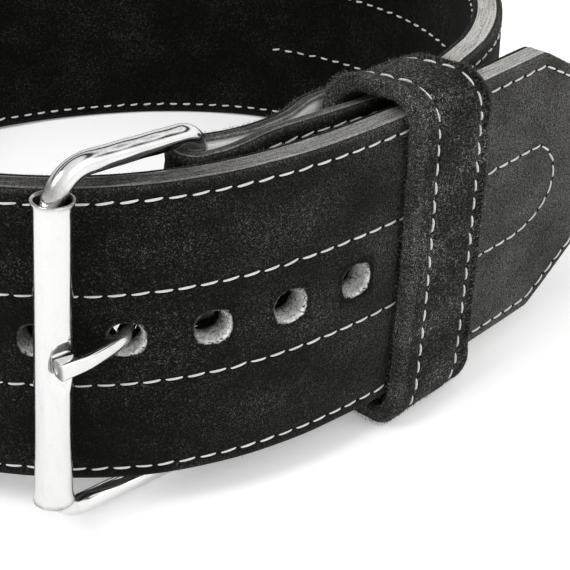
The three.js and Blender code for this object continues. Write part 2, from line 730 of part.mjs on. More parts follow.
// The keeper: the loop with a rounded band section, slanted a little as it hangs. Its lower
// run follows the surface that the belt rests on.
function keeperGeometry() {
  const base = tongueAt(KEEPER_AT);
  const level = groundBelow(besideTongue(KEEPER_AT, keeperInwards / 2));
  const loop = keeperLoop();
  const outer = Math.min(...loop.map((spot) => spot.inwards));
  const across = Math.max(...loop.map((spot) => spot.inwards)) - outer;
  const section = roundedRectangle(
    KEEPER_WIDTH / 2, KEEPER_THICKNESS / 2, KEEPER_THICKNESS / 2 - CLEAR, 2);
  const rings = loop.map((spot) => {
    const hang = clamp01(1 - spot.up / BELT_WIDTH);
    const within = (spot.inwards - outer) / across;
    const shift = -KEEPER_SKEW * hang * hang * (1 - within) - KEEPER_SLANT * across * within;
    return section.map((edge) => {
      const inwards = spot.inwards + edge.up * Math.cos(spot.bearing);
      const along = stepFrom(base, base.heading, shift + edge.across);
      const point = stepFrom(along, base.heading + Math.PI / 2, inwards);
      const settled = hang * (groundBelow(point) - level);
      const up = spot.up + settled + edge.up * Math.sin(spot.bearing);
      return new THREE.Vector3(point.x, point.y, up);
    });
  });
  return skin(rings, true);
}

// Finishes of the pieces.
const suede = () => new THREE.MeshStandardMaterial({ color: 0x171716, roughness: 0.95 });
const leather = () => new THREE.MeshStandardMaterial({ color: 0x55534f, roughness: 0.85 });
const plated = () => new THREE.MeshStandardMaterial({
  color: 0xd9d9d6, roughness: 0.18, metalness: 1 });

function piece(name, geometry, material) {
  const flat = geometry.toNonIndexed();
  flat.computeVertexNormals();
  const mesh = new THREE.Mesh(flat, material);
  mesh.name = name;
  return mesh;
}

// The pieces in the belt's own frame, its lower edge level at z = 0.
function beltPieces() {
  const layers = strapLayers();
  return [
    piece('outer_suede', layers.outer, suede()),
    piece('leather_core', layers.core, leather()),
    piece('inner_suede', layers.inner, suede()),
    piece('keeper', keeperGeometry(), suede()),
    piece('buckle_frame', frameGeometry(), plated()),
    piece('roller', rollerGeometry(), plated()),
    piece('prong', prongGeometry(), plated()),
  ];
}

const tilted = new THREE.Group();
tilted.add(...beltPieces());
tilted.rotation.x = -restAngle;

// The origin is at the middle of the underside of the box round the belt.
const belt = new THREE.Group();
belt.add(tilted);
belt.updateMatrixWorld(true);
const box = new THREE.Box3().setFromObject(belt, true);
const middle = box.getCenter(new THREE.Vector3());
tilted.position.set(-middle.x, -middle.y, -box.min.z);

export default belt;
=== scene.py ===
"""A weightlifting belt of suede-faced leather, fastened with a roller buckle.

Every shape is worked out in millimetres in the belt's own frame: the origin is the hole that
the prong goes through, X runs roughly to the tip, Y to the wearer's back and Z up from the
belt's level lower edge. A placement then tips it to its resting pose, in metres.
"""
from __future__ import annotations

import logging
import math
from dataclasses import dataclass, field
from enum import Enum
from typing import Callable, Sequence

import bpy
import numpy as np
from mathutils import Matrix, Vector

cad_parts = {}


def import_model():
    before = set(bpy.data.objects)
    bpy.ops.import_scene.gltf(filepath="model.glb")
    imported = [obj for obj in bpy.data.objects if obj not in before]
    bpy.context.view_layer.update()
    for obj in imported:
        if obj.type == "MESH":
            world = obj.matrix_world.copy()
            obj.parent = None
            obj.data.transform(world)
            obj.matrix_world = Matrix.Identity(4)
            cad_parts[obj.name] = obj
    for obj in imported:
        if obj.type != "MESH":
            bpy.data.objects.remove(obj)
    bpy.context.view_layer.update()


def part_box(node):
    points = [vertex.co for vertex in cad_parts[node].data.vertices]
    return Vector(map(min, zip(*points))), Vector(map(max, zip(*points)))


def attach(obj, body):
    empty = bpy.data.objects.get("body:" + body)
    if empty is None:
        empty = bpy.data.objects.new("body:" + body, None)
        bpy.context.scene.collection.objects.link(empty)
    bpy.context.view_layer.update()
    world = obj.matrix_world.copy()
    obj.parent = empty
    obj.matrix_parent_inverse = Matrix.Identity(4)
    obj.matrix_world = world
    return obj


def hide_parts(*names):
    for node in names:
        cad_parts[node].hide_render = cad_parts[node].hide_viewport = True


LOG = logging.getLogger("belt")
Array = np.ndarray

CLEAR = 0.3
BELT_WIDTH = 100.0
OUTER_SUEDE = 2.2
CORE = 6.7
INNER_SUEDE = 1.5
PLY_LEATHER = 2.9
THICKNESS = OUTER_SUEDE + CORE + INNER_SUEDE + 2 * CLEAR
CORE_DEPTH = OUTER_SUEDE + CLEAR + CORE
PLY_DEPTH = OUTER_SUEDE + CLEAR + PLY_LEATHER
MIDDLE = BELT_WIDTH / 2
HOLE_HEIGHT = MIDDLE + 1
HOLE_RADIUS = 5.5
HOLES = (-50.0, -25.0, 0.0, 25.0, 50.0, 75.0, 100.0)
STITCH_ROWS = (4.0, 35.2, 66.2, 96.0)
TONGUE_LENGTH = 220.0
ROUND_LENGTH = 737.0
ROUND_END_AT = 160.0
RETURN_END_AT = 149.0
INNER_SUEDE_END_AT = 134.5
SKIVE_FROM = 88.0
SKIVE_TO = 116.0
FOLD_CLEAR = 0.5
PLY_EASE = 5.0
SLOT_REACH = 12.0
TIP_TAPER = 50.0
TIP_DROP = 24.0
TIP_CORNER = 7.0
RETURN_CORNER = 9.0
ROD = 7.0
BAR_AT = 24.4
ROLLER_AT = -18.8
LEAN = math.radians(4.6)

# Numbers of points: in the strap's stretches, across a hole's square of cells, round a hole,
# down it, across the slot and at the corners of the strap's section.
TONGUE_STATIONS = 75
ROUND_STATIONS = 310
CELLS_AHEAD = 68
CELLS_BEHIND = 36
PLY_STATIONS = 86
FOLD_STATIONS = 22
RETURN_STATIONS = 80
HOLE_CELLS = 10
HOLE_SIDES = 4 * HOLE_CELLS
HOLE_RINGS = 10
SLOT_CELLS = 8
CORNER_POINTS = 3
# Place on the tongue given to stations that aren't in the stack of plies.
OFF_STACK = 400.0


class Face(Enum):
    """The side of the strap that something lies on."""

    OUTER = 1.0
    INNER = -1.0


# ---- Where the belt runs -------------------------------------------------------------------


@dataclass(frozen=True)
class Lay:
    """A plan curve made of arcs, each a share of the whole length and a turn in degrees."""

    runs: tuple[float, ...]
    turns: tuple[float, ...]
    length: float
    heading: float
    step: float = 0.25

    def curve(self) -> tuple[Array, Array, Array, Array]:
        """Distance, x, y and heading along the curve.

        The heading grows evenly within each arc; x and y are the running sums of its cosine
        and sine at the middle of each step.

        Returns:
            Four arrays of one length: distance, x, y (mm) and heading (radians).
        """
        ends = np.concatenate([[0.0], np.cumsum(self.runs)]) * self.length
        turned = np.radians(np.concatenate([[0.0], np.cumsum(self.turns)]))
        far = np.arange(0.0, self.length + 60.0, self.step)
        last = (turned[-1] - turned[-2]) / (ends[-1] - ends[-2])
        heading = self.heading + np.interp(far, ends, turned)
        heading = heading + last * np.maximum(0.0, far - ends[-1])
        middle = (heading[1:] + heading[:-1]) / 2
        x = np.concatenate([[0.0], np.cumsum(np.cos(middle))]) * self.step
        y = np.concatenate([[0.0], np.cumsum(np.sin(middle))]) * self.step
        return far, x, y, heading


def smooth(t: Array | float) -> Array | float:
    """Smooth step from 0 to 1: the cubic 3t^2 - 2t^3 of t held within 0 and 1."""
    t = np.clip(t, 0.0, 1.0)
    return t * t * (3 - 2 * t)


def unit(vectors: Array) -> Array:
    """Vectors at length one, along the last axis."""
    return vectors / np.linalg.norm(vectors, axis=-1, keepdims=True)


@dataclass
class Plan:
    """The belt's plan: the tongue line, the round of the body and the stack of plies.

    A row of the stack is a share of the tongue's length, the ply's gap to the tongue as a share
    of its spread, the return's gap to the ply as a share of the pocket, and how far the return
    lies over the keeper.
    """

    PLY_GAP, RETURN_GAP, OVER_KEEPER = 1, 2, 3

    hole_heading: float = math.radians(8.3)
    ply_spread: float = 7.2
    pocket: float = 7.7
    keeper_at: float = 111.5
    keeper_thickness: float = 6.2
    keeper_ease: float = 0.6
    stack: Array = field(default_factory=lambda: np.array([
        [0.110, 0.07, 1.00, 0.00],
        [0.160, 0.18, 0.87, 0.00],
        [0.190, 0.33, 0.58, 0.00],
        [0.227, 0.69, 0.22, 0.00],
        [0.260, 0.96, 0.00, 0.00],
        [0.300, 0.95, 0.00, 0.15],
        [0.327, 0.93, 0.00, 0.40],
        [0.355, 0.89, 0.00, 0.80],
        [0.375, 0.85, 0.00, 1.00],
        [0.400, 0.78, 0.00, 1.00],
        [0.455, 0.57, 0.00, 1.00],
        [0.500, 0.43, 0.00, 1.00],
        [0.550, 0.34, 0.00, 1.00],
        [0.600, 0.38, 0.00, 1.00],
        [0.636, 0.51, 0.00, 0.42],
        [0.673, 0.76, 0.00, 0.10],
        [0.727, 1.19, 0.00, 0.02],
        [0.782, 1.75, 0.00, 0.00],
    ]))

    def __post_init__(self) -> None:
        """Works out the two lays and joins them at the fastened hole."""
        tongue = Lay((0.091,) * 7 + (0.363,), (11.1, 9.6, 7.4, 5.0, 3.0, 1.6, 0.8, 0.0),
                     TONGUE_LENGTH, self.hole_heading)
        body = Lay((0.027, 0.027, 0.158, 0.158, 0.158) + (0.081,) * 5 + (0.067,),
                   (-10.9, -8.3, -38.5, -52.5, -49.6, -17.1, -20.0, -26.9, -29.2, -27.2,
                    -22.2), ROUND_LENGTH, self.hole_heading + math.pi)
        ahead = tongue.curve()
        self.loose = body.curve()
        back = [part[1:400][::-1] for part in self.loose]
        self.line = [
            np.concatenate([-back[0], ahead[0]]),
            np.concatenate([back[1], ahead[1]]),
            np.concatenate([back[2], ahead[2]]),
            np.concatenate([back[3] - math.pi, ahead[3]]),
        ]
        target = self.beside(np.array([ROUND_END_AT]),
                             self.ply_face(np.array([ROUND_END_AT])) + THICKNESS / 2)[0]
        end = [np.interp(ROUND_LENGTH, self.loose[0], part) for part in self.loose[1:3]]
        self.closing = target - np.array(end)

    def heading(self, place: Array | float) -> Array | float:
        """Heading of the tongue line at places from the fastened hole, in radians."""
        return np.interp(place, self.line[0], self.line[3])

    def beside(self, place: Array, inwards: Array | float) -> Array:
        """Points beside the tongue line.

        Args:
            place: distances from the fastened hole towards the tip (mm).
            inwards: distances to the wearer's side of the line (mm).

        Returns:
            Array of x and y (mm), one row for each place.
        """
        x = np.interp(place, self.line[0], self.line[1])
        y = np.interp(place, self.line[0], self.line[2])
        angle = self.heading(place)
        return np.stack([x - inwards * np.sin(angle), y + inwards * np.cos(angle)], -1)

    def around(self, distance: Array) -> tuple[Array, Array]:
        """Centre line round the body, with the closing miss shared out along it.

        Args:
            distance: distances from the fastened hole round the body (mm).

        Returns:
            Points (mm) and headings (radians).
        """
        loose = [np.interp(distance, self.loose[0], part) for part in self.loose[1:]]
        share = (distance / ROUND_LENGTH)[:, None]
        return np.stack(loose[:2], -1) + share * self.closing, loose[2]

    def column(self, place: Array, name: int) -> Array:
        """A column of the stack, averaged over 10 mm of the tongue about each place."""
        shifts = np.linspace(-5.0, 5.0, 7)
        shares = (np.atleast_1d(place)[:, None] + shifts[None, :]) / TONGUE_LENGTH
        return np.interp(shares, self.stack[:, 0], self.stack[:, name]).mean(1)

    def core_depth(self, place: Array) -> Array:
        """Depth of the leather's inner face, thinned towards the buckle."""
        share = smooth((place - SKIVE_FROM) / (SKIVE_TO - SKIVE_FROM))
        return PLY_DEPTH + (CORE_DEPTH - PLY_DEPTH) * share

    def ply_face(self, place: Array) -> Array:
        """Distance from the tongue line in to the ply's outer face."""
        return (THICKNESS / 2 + FOLD_CLEAR
                + self.column(place, self.PLY_GAP) * self.ply_spread)

    @property
    def keeper_inwards(self) -> float:
        """Distance from the tongue line in to the middle of the keeper's inner run."""
        face = float(self.ply_face(np.array([self.keeper_at]))[0])
        return face + CORE_DEPTH + self.keeper_ease + self.keeper_thickness / 2

    def return_face(self, place: Array) -> Array:
        """Distance from the tongue line in to the far face of the return ply."""
        depth = self.core_depth(place)
        climb = smooth((place - INNER_SUEDE_END_AT) / PLY_EASE + 1)
        covered = depth + (THICKNESS - depth) * climb
        on_ply = (self.ply_face(place) + covered + FOLD_CLEAR
                  + self.column(place, self.RETURN_GAP) * self.pocket)
        on_keeper = self.keeper_inwards + self.keeper_thickness / 2 + self.keeper_ease
        over = self.column(place, self.OVER_KEEPER)
        return on_ply + (on_keeper - on_ply) * over + PLY_DEPTH


@dataclass
class Route:
    """The strap's outer face from the tip, round the body, to the end of the return ply.

    Stations are numbered by the distance travelled. The fold round the bar leans, so each
    station has a place at the lower edge and one at the upper edge.
    """

    plan: Plan
    hole_cell: float = 25.0 / 16

    def __post_init__(self) -> None:
        """Lays out the stations and their outward directions."""
        plan = self.plan
        cell = self.hole_cell
        even = CELLS_AHEAD * cell
        near = np.concatenate([np.linspace(TONGUE_LENGTH, even, TONGUE_STATIONS)[:-1],
                               np.arange(CELLS_AHEAD, -1, -1) * cell])
        even = CELLS_BEHIND * cell
        far = np.concatenate([np.arange(1, CELLS_BEHIND + 1) * cell,
                              np.linspace(even, ROUND_LENGTH, ROUND_STATIONS)[1:-1]])
        tongue = plan.beside(near, -THICKNESS / 2)
        centre, angle = plan.around(far)
        body = centre + THICKNESS / 2 * np.stack([-np.sin(angle), np.cos(angle)], -1)
        bend = float(plan.heading(BAR_AT + 1) - plan.heading(BAR_AT - 1)) / 2
        drift = MIDDLE * math.tan(LEAN) / (1 - self.bar_inwards * bend)
        sides = [self._stack(BAR_AT + shift) for shift in (-drift, drift)]
        places = self._stack_places(BAR_AT)
        self.low, self.high = (np.concatenate([tongue, body, side]) for side in sides)
        middle = (self.low + self.high) / 2
        self.first_ply = len(near) + len(far)
        run = np.linalg.norm(np.diff(middle[self.first_ply - 1:], axis=0), axis=1)
        start = TONGUE_LENGTH + far[-1]
        self.p = np.concatenate([TONGUE_LENGTH - near, TONGUE_LENGTH + far,
                                 start + np.cumsum(run)])
        ahead = unit(np.gradient(middle, axis=0))
        self.out = np.stack([-ahead[:, 1], ahead[:, 0]], -1)
        self.place_on_tongue = np.concatenate([np.full(self.first_ply, OFF_STACK), places])
        self.core = np.where(self.place_on_tongue == OFF_STACK, CORE_DEPTH,
                             plan.core_depth(self.place_on_tongue))
        self.fold_start = self.first_ply + PLY_STATIONS
        self.fold_end = self.fold_start + FOLD_STATIONS
        self.core[self.fold_start:] = PLY_DEPTH
        self.suede_end = self.first_ply + int(
            np.argmax(self.place_on_tongue[self.first_ply:] < INNER_SUEDE_END_AT))

    @property
    def bar_inwards(self) -> float:
        """Distance from the tongue line in to the bar's centre line."""
        at = np.array([BAR_AT])
        return float(self.plan.ply_face(at)[0] + self.plan.return_face(at)[0]) / 2

    def _stack_places(self, fold_at: float) -> Array:
        """Places along the tongue of the ply's, fold's and return's stations."""
        return np.concatenate([np.linspace(ROUND_END_AT, fold_at, PLY_STATIONS),
                               np.full(FOLD_STATIONS, fold_at),
                               np.linspace(fold_at, RETURN_END_AT, RETURN_STATIONS)])

    def _stack(self, fold_at: float) -> Array:
        """Outer face of the ply, the fold and the return.

        The fold is half a circle between the two faces at fold_at, travelled clockwise.
        """
        places = self._stack_places(fold_at)
        there, again = places[:PLY_STATIONS], places[PLY_STATIONS + FOLD_STATIONS:]
        ply = self.plan.beside(there, self.plan.ply_face(there))
        back = self.plan.beside(again, self.plan.return_face(again))
        centre = (ply[-1] + back[0]) / 2
        radius = np.linalg.norm(back[0] - ply[-1]) / 2
        start = math.atan2(*(ply[-1] - centre)[::-1])
        angle = start - np.linspace(0, math.pi, FOLD_STATIONS + 2)[1:-1]
        fold = centre + radius * np.stack([np.cos(angle), np.sin(angle)], -1)
        return np.concatenate([ply, fold, back])

    def spot(self, p: Array, z: Array, depth: Array | float) -> Array:
        """Points in the strap.

        Each is the blend, by height, of the lower and upper edges' outer face, less the
        outward direction times the depth.

        Args:
            p: distance travelled along the strap (mm).
            z: height above the lower edge (mm).
            depth: distance below the outer face (mm).

        Returns:
            Points (mm) with x, y and z in the last axis.
        """
        share = z / BELT_WIDTH
        flat = [np.interp(p, self.p, self.low[:, k]) * (1 - share)
                + np.interp(p, self.p, self.high[:, k]) * share
                - np.interp(p, self.p, self.out[:, k]) * depth for k in range(2)]
        return np.stack([flat[0], flat[1], z + 0 * flat[0]], -1)

    def outward(self, p: Array) -> Array:
        """Outward directions at distances along the strap."""
        flat = [np.interp(p, self.p, self.out[:, k]) for k in range(2)]
        return unit(np.stack([flat[0], flat[1], 0 * flat[0]], -1))

    def squeeze(self, p: Array, z: Array) -> Array:
        """Heights brought in towards the middle where the strap's ends are trimmed.

        The tip's edges close in evenly over its taper and round off, by a square, at its
        corner; the return ply's corners are cut off straight.
        """
        tip = np.clip((TIP_TAPER - p) / (TIP_TAPER - TIP_CORNER), 0, 1) * TIP_DROP
        tip = tip + TIP_CORNER * np.clip((TIP_CORNER - p) / TIP_CORNER, 0, 1) ** 2
        end = np.clip((p - self.p[-1] + RETURN_CORNER) / RETURN_CORNER, 0, 1)
        drop = np.where(p < TIP_TAPER, tip, RETURN_CORNER * end)
        return MIDDLE + (z - MIDDLE) * (1 - drop / MIDDLE)


# ---- Putting meshes into the scene ---------------------------------------------------------


@dataclass
class Placement:
    """Tips the belt to its resting pose and turns millimetres into metres."""

    angle: float
    shift: Array

    @property
    def turn(self) -> Array:
        """Rotation about X by minus the resting angle, as a 3 by 3 array."""
        c, s = math.cos(-self.angle), math.sin(-self.angle)
        return np.array([[1.0, 0, 0], [0, c, -s], [0, s, c]])

    def apply(self, points: Array) -> Array:
        """Points of the belt's own frame (mm) in the scene (m)."""
        return (points @ self.turn.T + self.shift) / 1000.0


@dataclass
class Surface:
    """A mesh under construction: points (mm), faces, and values at the points."""

    points: Array
    faces: list[Array]
    caps: list[Array] = field(default_factory=list)
    uv: Array | None = None
    values: dict[str, Array] = field(default_factory=dict)

    def volume(self) -> float:
        """Signed volume of the faces, from the pyramids that they make with the origin."""
        total = 0.0
        for face in self.faces:
            a, b, c = (self.points[face[:, k]] for k in (0, 1, 2))
            total += float(np.einsum("ij,ij->i", a, np.cross(b, c)).sum())
            if face.shape[1] == 4:
                d = self.points[face[:, 3]]
                total += float(np.einsum("ij,ij->i", a, np.cross(c, d)).sum())
        for cap in self.caps:
            hub = self.points[cap].mean(0)
            a, b = self.points[cap], self.points[np.roll(cap, -1)]
            total += float((np.cross(a, b) @ hub).sum())
        return total

    def build(self, name: str, where: Placement, material: bpy.types.Material,
              body: str = "root") -> bpy.types.Object:
        """Makes the mesh object, with its faces pointing out.

        Args:
            name: the object's name.
            where: the resting pose.
            material: the finish.
            body: the body that it rides on.

        Returns:
            The object, at the origin.
        """
        parts = [*self.faces, *(cap[None] for cap in self.caps)]
        if self.volume() < 0:
            parts = [part[:, ::-1] for part in parts]
        used = np.unique(np.concatenate([part.ravel() for part in parts]))
        remap = np.full(len(self.points), -1)
        remap[used] = np.arange(len(used))
        polygons = [row for part in parts for row in remap[part].tolist()]
        mesh = bpy.data.meshes.new(name)
        mesh.from_pydata(where.apply(self.points[used]).tolist(), [], polygons)
        corners = np.zeros(len(mesh.loops), np.int32)
        mesh.loops.foreach_get("vertex_index", corners)
        if self.uv is not None:
            layer = mesh.uv_layers.new(name="along")
            layer.data.foreach_set("uv", self.uv[used][corners].astype(np.float32).ravel())
        for key, value in self.values.items():
            spots = mesh.attributes.new(key, "FLOAT", "POINT")
            spots.data.foreach_set("value", value[used].astype(np.float32))
        mesh.shade_smooth()
        mesh.materials.append(material)
        mesh.update()
        thing = put(name, mesh)
        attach(thing, body)
        LOG.info("%s: %d points, %d faces", name, len(used), len(polygons))
        return thing


def put(name: str, data: bpy.types.ID) -> bpy.types.Object:
    """A new object in the scene, at the origin."""
    thing = bpy.data.objects.new(name, data)
    bpy.context.scene.collection.objects.link(thing)
    return thing


def ring_faces(rows: int, columns: int, closed_rows: bool, closed_columns: bool) -> Array:
    """Quads of a grid of points numbered row by row.

    Args:
        rows: how many rows of points.
        columns: how many points in a row.
        closed_rows: the last row joins the first.
        closed_columns: the last point of a row joins its first.

    Returns:
        Array of four point numbers for each face.
    """
    i = np.arange(rows if closed_rows else rows - 1)
    j = np.arange(columns if closed_columns else columns - 1)
    i, j = np.meshgrid(i, j, indexing="ij")
    i2, j2 = (i + 1) % rows, (j + 1) % columns
    quads = [i * columns + j, i * columns + j2, i2 * columns + j2, i2 * columns + j]
    return np.stack(quads, -1).reshape(-1, 4)


def join_arcs(arcs: Sequence[Array], steps: Callable[[float], int]) -> Array:
    """A closed line of arcs joined by straight runs.

    Args:
        arcs: rows of two coordinates and a bearing, an array for each arc.
        steps: how many steps a straight run of a length takes.

    Returns:
        Rows of the whole line.
    """
    line = []
    for n, arc in enumerate(arcs):
        way = arcs[(n + 1) % len(arcs)][0, :2] - arc[-1, :2]
        t = np.linspace(0, 1, steps(float(np.linalg.norm(way))) + 1)[1:-1, None]
        line += [arc, np.column_stack([arc[-1, :2] + way * t, np.full(len(t), arc[-1, 2])])]
    return np.concatenate(line)


def tube(points: Array, stain: Array, closed: bool = True) -> Surface:
    """A tube of rings of points, with the tarnish of each ring, and caps if it's open."""
    rows, columns = points.shape[:2]
    ring = np.arange(columns)
    caps = [] if closed else [ring, ring[::-1] + (rows - 1) * columns]
    return Surface(points.reshape(-1, 3), [ring_faces(rows, columns, closed, True)], caps,
                   None, {"tarnish": np.repeat(stain, columns)})


def loop_round(long: int, wide: int) -> tuple[Array, Array]:
    """Row and column numbers of the points round a block of cells, from its first corner."""
    u = np.concatenate([np.arange(long), np.full(wide, long), np.arange(long, 0, -1),
                        np.zeros(wide, int)])
    v = np.concatenate([np.zeros(long, int), np.arange(wide), np.full(long, wide),
                        np.arange(wide, 0, -1)])
    return u, v


def ripple(p: Array, z: Array, size: float = 1.0, seed: float = 0.0) -> Array:
    """Slow unevenness of leather: a sum of sines of the place, of unlike wavelengths."""
    a = np.sin(p / (17.0 * size) + 1.3 + seed) * np.sin(z / (21.0 * size) + 0.4 + seed)
    b = np.sin(p / (7.3 * size) + z / (11.0 * size) + 2.1 * seed)
    c = np.sin(p / (3.9 * size) - z / (5.7 * size) + 0.7 + seed)
    return 0.5 * a + 0.3 * b + 0.2 * c


def levels(rows: Sequence[float], low: float, high: float, cell: float, coarse: float,
           fine: Sequence[float] = (0.0, 0.8, 1.7, 3.0)) -> Array:
    """Heights of a face's points: fine about each stitch row and even about the holes.

    Args:
        rows: heights of the stitch rows (mm).
        low: lowest height.
        high: highest height.
        cell: spacing about the holes.
        coarse: widest spacing elsewhere.
        fine: distances from a row that get a point.

    Returns:
        Sorted heights.
    """
    hole = HOLE_HEIGHT + cell * (np.arange(HOLE_CELLS + 1) - HOLE_CELLS // 2)
    anchors = [low, high, *hole.tolist()]
    anchors += [row + side * gap for row in rows for gap in fine for side in (-1, 1)
                if low + 0.3 < row + side * gap < high - 0.3]
    kept = np.unique(np.round(anchors, 3))
    inside = (kept > hole[0] + 1e-3) & (kept < hole[-1] - 1e-3)
    on_hole = np.min(np.abs(kept[:, None] - hole[None, :]), axis=1) < 1e-2
    kept = kept[~inside | on_hole]
    parts = [np.linspace(a, b, max(1, math.ceil((b - a) / coarse)) + 1)[:-1]
             for a, b in zip(kept[:-1], kept[1:])]
    return np.concatenate([*parts, kept[-1:]])


# ---- Shader maths --------------------------------------------------------------------------


class Signal:
    """A shader socket that can be added, multiplied and so on."""

    def __init__(self, graph: "Nodes", socket: bpy.types.NodeSocket) -> None:
        """Keeps the socket and the graph that it belongs to."""
        self.graph = graph
        self.socket = socket

    def _maths(self, operation: str, a: "Signal | float", b: "Signal | float") -> "Signal":
        """A Math node on two values."""
        return self.graph.node("ShaderNodeMath", {"operation": operation}, {0: a, 1: b})

    def __add__(self, other: "Signal | float") -> "Signal":
        """Sum."""
        return self._maths("ADD", self, other)

    __radd__ = __add__

    def __mul__(self, other: "Signal | float") -> "Signal":
        """Product."""
        return self._maths("MULTIPLY", self, other)

    __rmul__ = __mul__

    def __sub__(self, other: "Signal | float") -> "Signal":
        """Difference."""
        return self._maths("SUBTRACT", self, other)

    def __rsub__(self, other: "Signal | float") -> "Signal":
        """Difference the other way round."""
        return self._maths("SUBTRACT", other, self)

    def __pow__(self, other: "Signal | float") -> "Signal":
        """Power."""
        return self._maths("POWER", self, other)

    def most(self, other: "Signal | float") -> "Signal":
        """The larger of two values."""
        return self._maths("MAXIMUM", self, other)

    def band(self, low: float, high: float) -> "Signal":
        """0 below low, 1 above high, and a straight slope between."""
        return self.graph.node("ShaderNodeMapRange", {"clamp": True},
                               {0: self, 1: low, 2: high, 3: 0.0, 4: 1.0})


class Nodes:
    """A tree of shader nodes."""

    def __init__(self, tree: bpy.types.NodeTree) -> None:
        """Keeps the tree."""
        self.tree = tree

    def node(self, kind: str, settings: dict[str, object] | None = None,
             sockets: dict[object, object] | None = None, out: int | str = 0) -> Signal:
        """Any node.

        Args:
            kind: the node's type.
            settings: its own settings, set first.
            sockets: values or links of its inputs, by name or number.
            out: the output that is given back.

        Returns:
            The output as a Signal.
        """
        made = self.tree.nodes.new(kind)
        for key, value in (settings or {}).items():
            setattr(made, key, value)
        for key, value in (sockets or {}).items():
            if isinstance(value, Signal):
                self.tree.links.new(value.socket, made.inputs[key])
            else:
                made.inputs[key].default_value = value
        return Signal(self, made.outputs[out])

    def noise(self, scale: float, detail: float = 2.0, rough: float = 0.5,
              stretch: tuple[float, float, float] = (1, 1, 1),
              source: Signal | None = None) -> Signal:
        """Noise over the object's own coordinates, in metres, or over another vector."""
        place = source or self.node("ShaderNodeTexCoord", out="Object")
        placed = self.node("ShaderNodeMapping", {}, {"Vector": place, "Scale": stretch})
        return self.node("ShaderNodeTexNoise", {}, {
            "Vector": placed, "Scale": scale, "Detail": detail, "Roughness": rough})

    def fluff(self) -> Signal:
        """Tufts of raw fibres: 0 between them, 1 on them."""
        return self.noise(1000.0, 4.0, 0.75).band(0.40, 0.50)

    def blend(self, share: Signal | float, a: object, b: object) -> Signal:
        """A colour between a and b."""
        return self.node("ShaderNodeMix", {"data_type": "RGBA"},
                         {0: share, 6: a, 7: b}, out=2)

    def value(self, name: str) -> Signal:
        """A value kept at the mesh's points."""
        return self.node("ShaderNodeAttribute", {"attribute_name": name}, out="Fac")

    def bump(self, height: Signal, distance: float, strength: float = 1.0,
             under: Signal | None = None) -> Signal:
        """A bump of a height, over another normal if one is given."""
        sockets: dict[object, object] = {
            "Height": height, "Distance": distance, "Strength": strength}
        if under is not None:
            sockets["Normal"] = under
        return self.node("ShaderNodeBump", {}, sockets)


class Graph(Nodes):
    """A material's nodes."""

    def __init__(self, name: str) -> None:
        """Starts an empty material with its output."""
        self.material = bpy.data.materials.new(name)
        self.material.use_nodes = True
        super().__init__(self.material.node_tree)
        self.tree.nodes.clear()
        self.output = self.tree.nodes.new("ShaderNodeOutputMaterial")

    def finish(self, sockets: dict[object, object]) -> bpy.types.Material:
        """Ends the material in a Principled shader with these sockets."""
        shader = self.node("ShaderNodeBsdfPrincipled", {}, sockets)
        self.tree.links.new(shader.socket, self.output.inputs["Surface"])
        return self.material


@dataclass(frozen=True)
class SuedeFinish:
    """Black suede: a short nap with lighter flecks, brushed patches and pale worn edges."""

    name: str
    dark: tuple[float, float, float, float] = (0.0036, 0.0037, 0.0031, 1.0)
    fleck: tuple[float, float, float, float] = (0.090, 0.090, 0.078, 1.0)
    worn_and_lit: tuple[float, float, float, float] = (0.19, 0.187, 0.17, 1.0)
    raw: tuple[float, float, float, float] = (0.97, 0.965, 0.94, 1.0)
    grain: float = 2300.0
    coarse: float = 0.0
    depth: float = 0.0005
    contrast: float = 2.6

    def make(self) -> bpy.types.Material:
        """Builds the material."""
        g = Graph(self.name)
        fine = g.noise(self.grain, 3.0, 0.6)
        clump = g.noise(self.grain * 0.36, 2.0, 0.55)
        patch = g.noise(38.0, 3.0, 0.55, (1, 1, 1.6))
        strands = g.noise(420.0, 2.0, 0.5, (1.0, 1.0, 0.28))
        nap = fine.band(0.46, 0.70) * 0.75 + clump.band(0.42, 0.72) * (0.30 + self.coarse)
        nap = nap * (patch.band(0.25, 0.75) * 0.9 + 0.45) + strands.band(0.5, 0.8) * 0.10
        base = g.blend(nap ** self.contrast, self.dark, self.fleck)
        brushed = patch.band(0.3, 0.65) * 0.5 + 0.5
        # The pale worn colour: worn edges, plus painted light at the tip, along the tongue and
        # at the far turn.
        wear_plus_light = g.value("wear_plus_light") * (fine.band(0.42, 0.62) * 0.95 + 0.05) * brushed
        # Raw fibres in the holes, strongest on their lit lower walls: partly painted light.
        bare_and_lit = g.value("bare_and_lit") * g.fluff()
        colour = g.blend(bare_and_lit, g.blend(wear_plus_light, base, self.worn_and_lit), self.raw)
        height = fine * 0.5 + clump * (0.6 + 2 * self.coarse) + strands * 0.3
        return g.finish({
            "Base Color": colour, "Roughness": 0.95, "Specular IOR Level": 0.04,
            "Sheen Weight": 0.03, "Sheen Roughness": 0.4,
            "Normal": g.bump(height, self.depth, 0.9)})


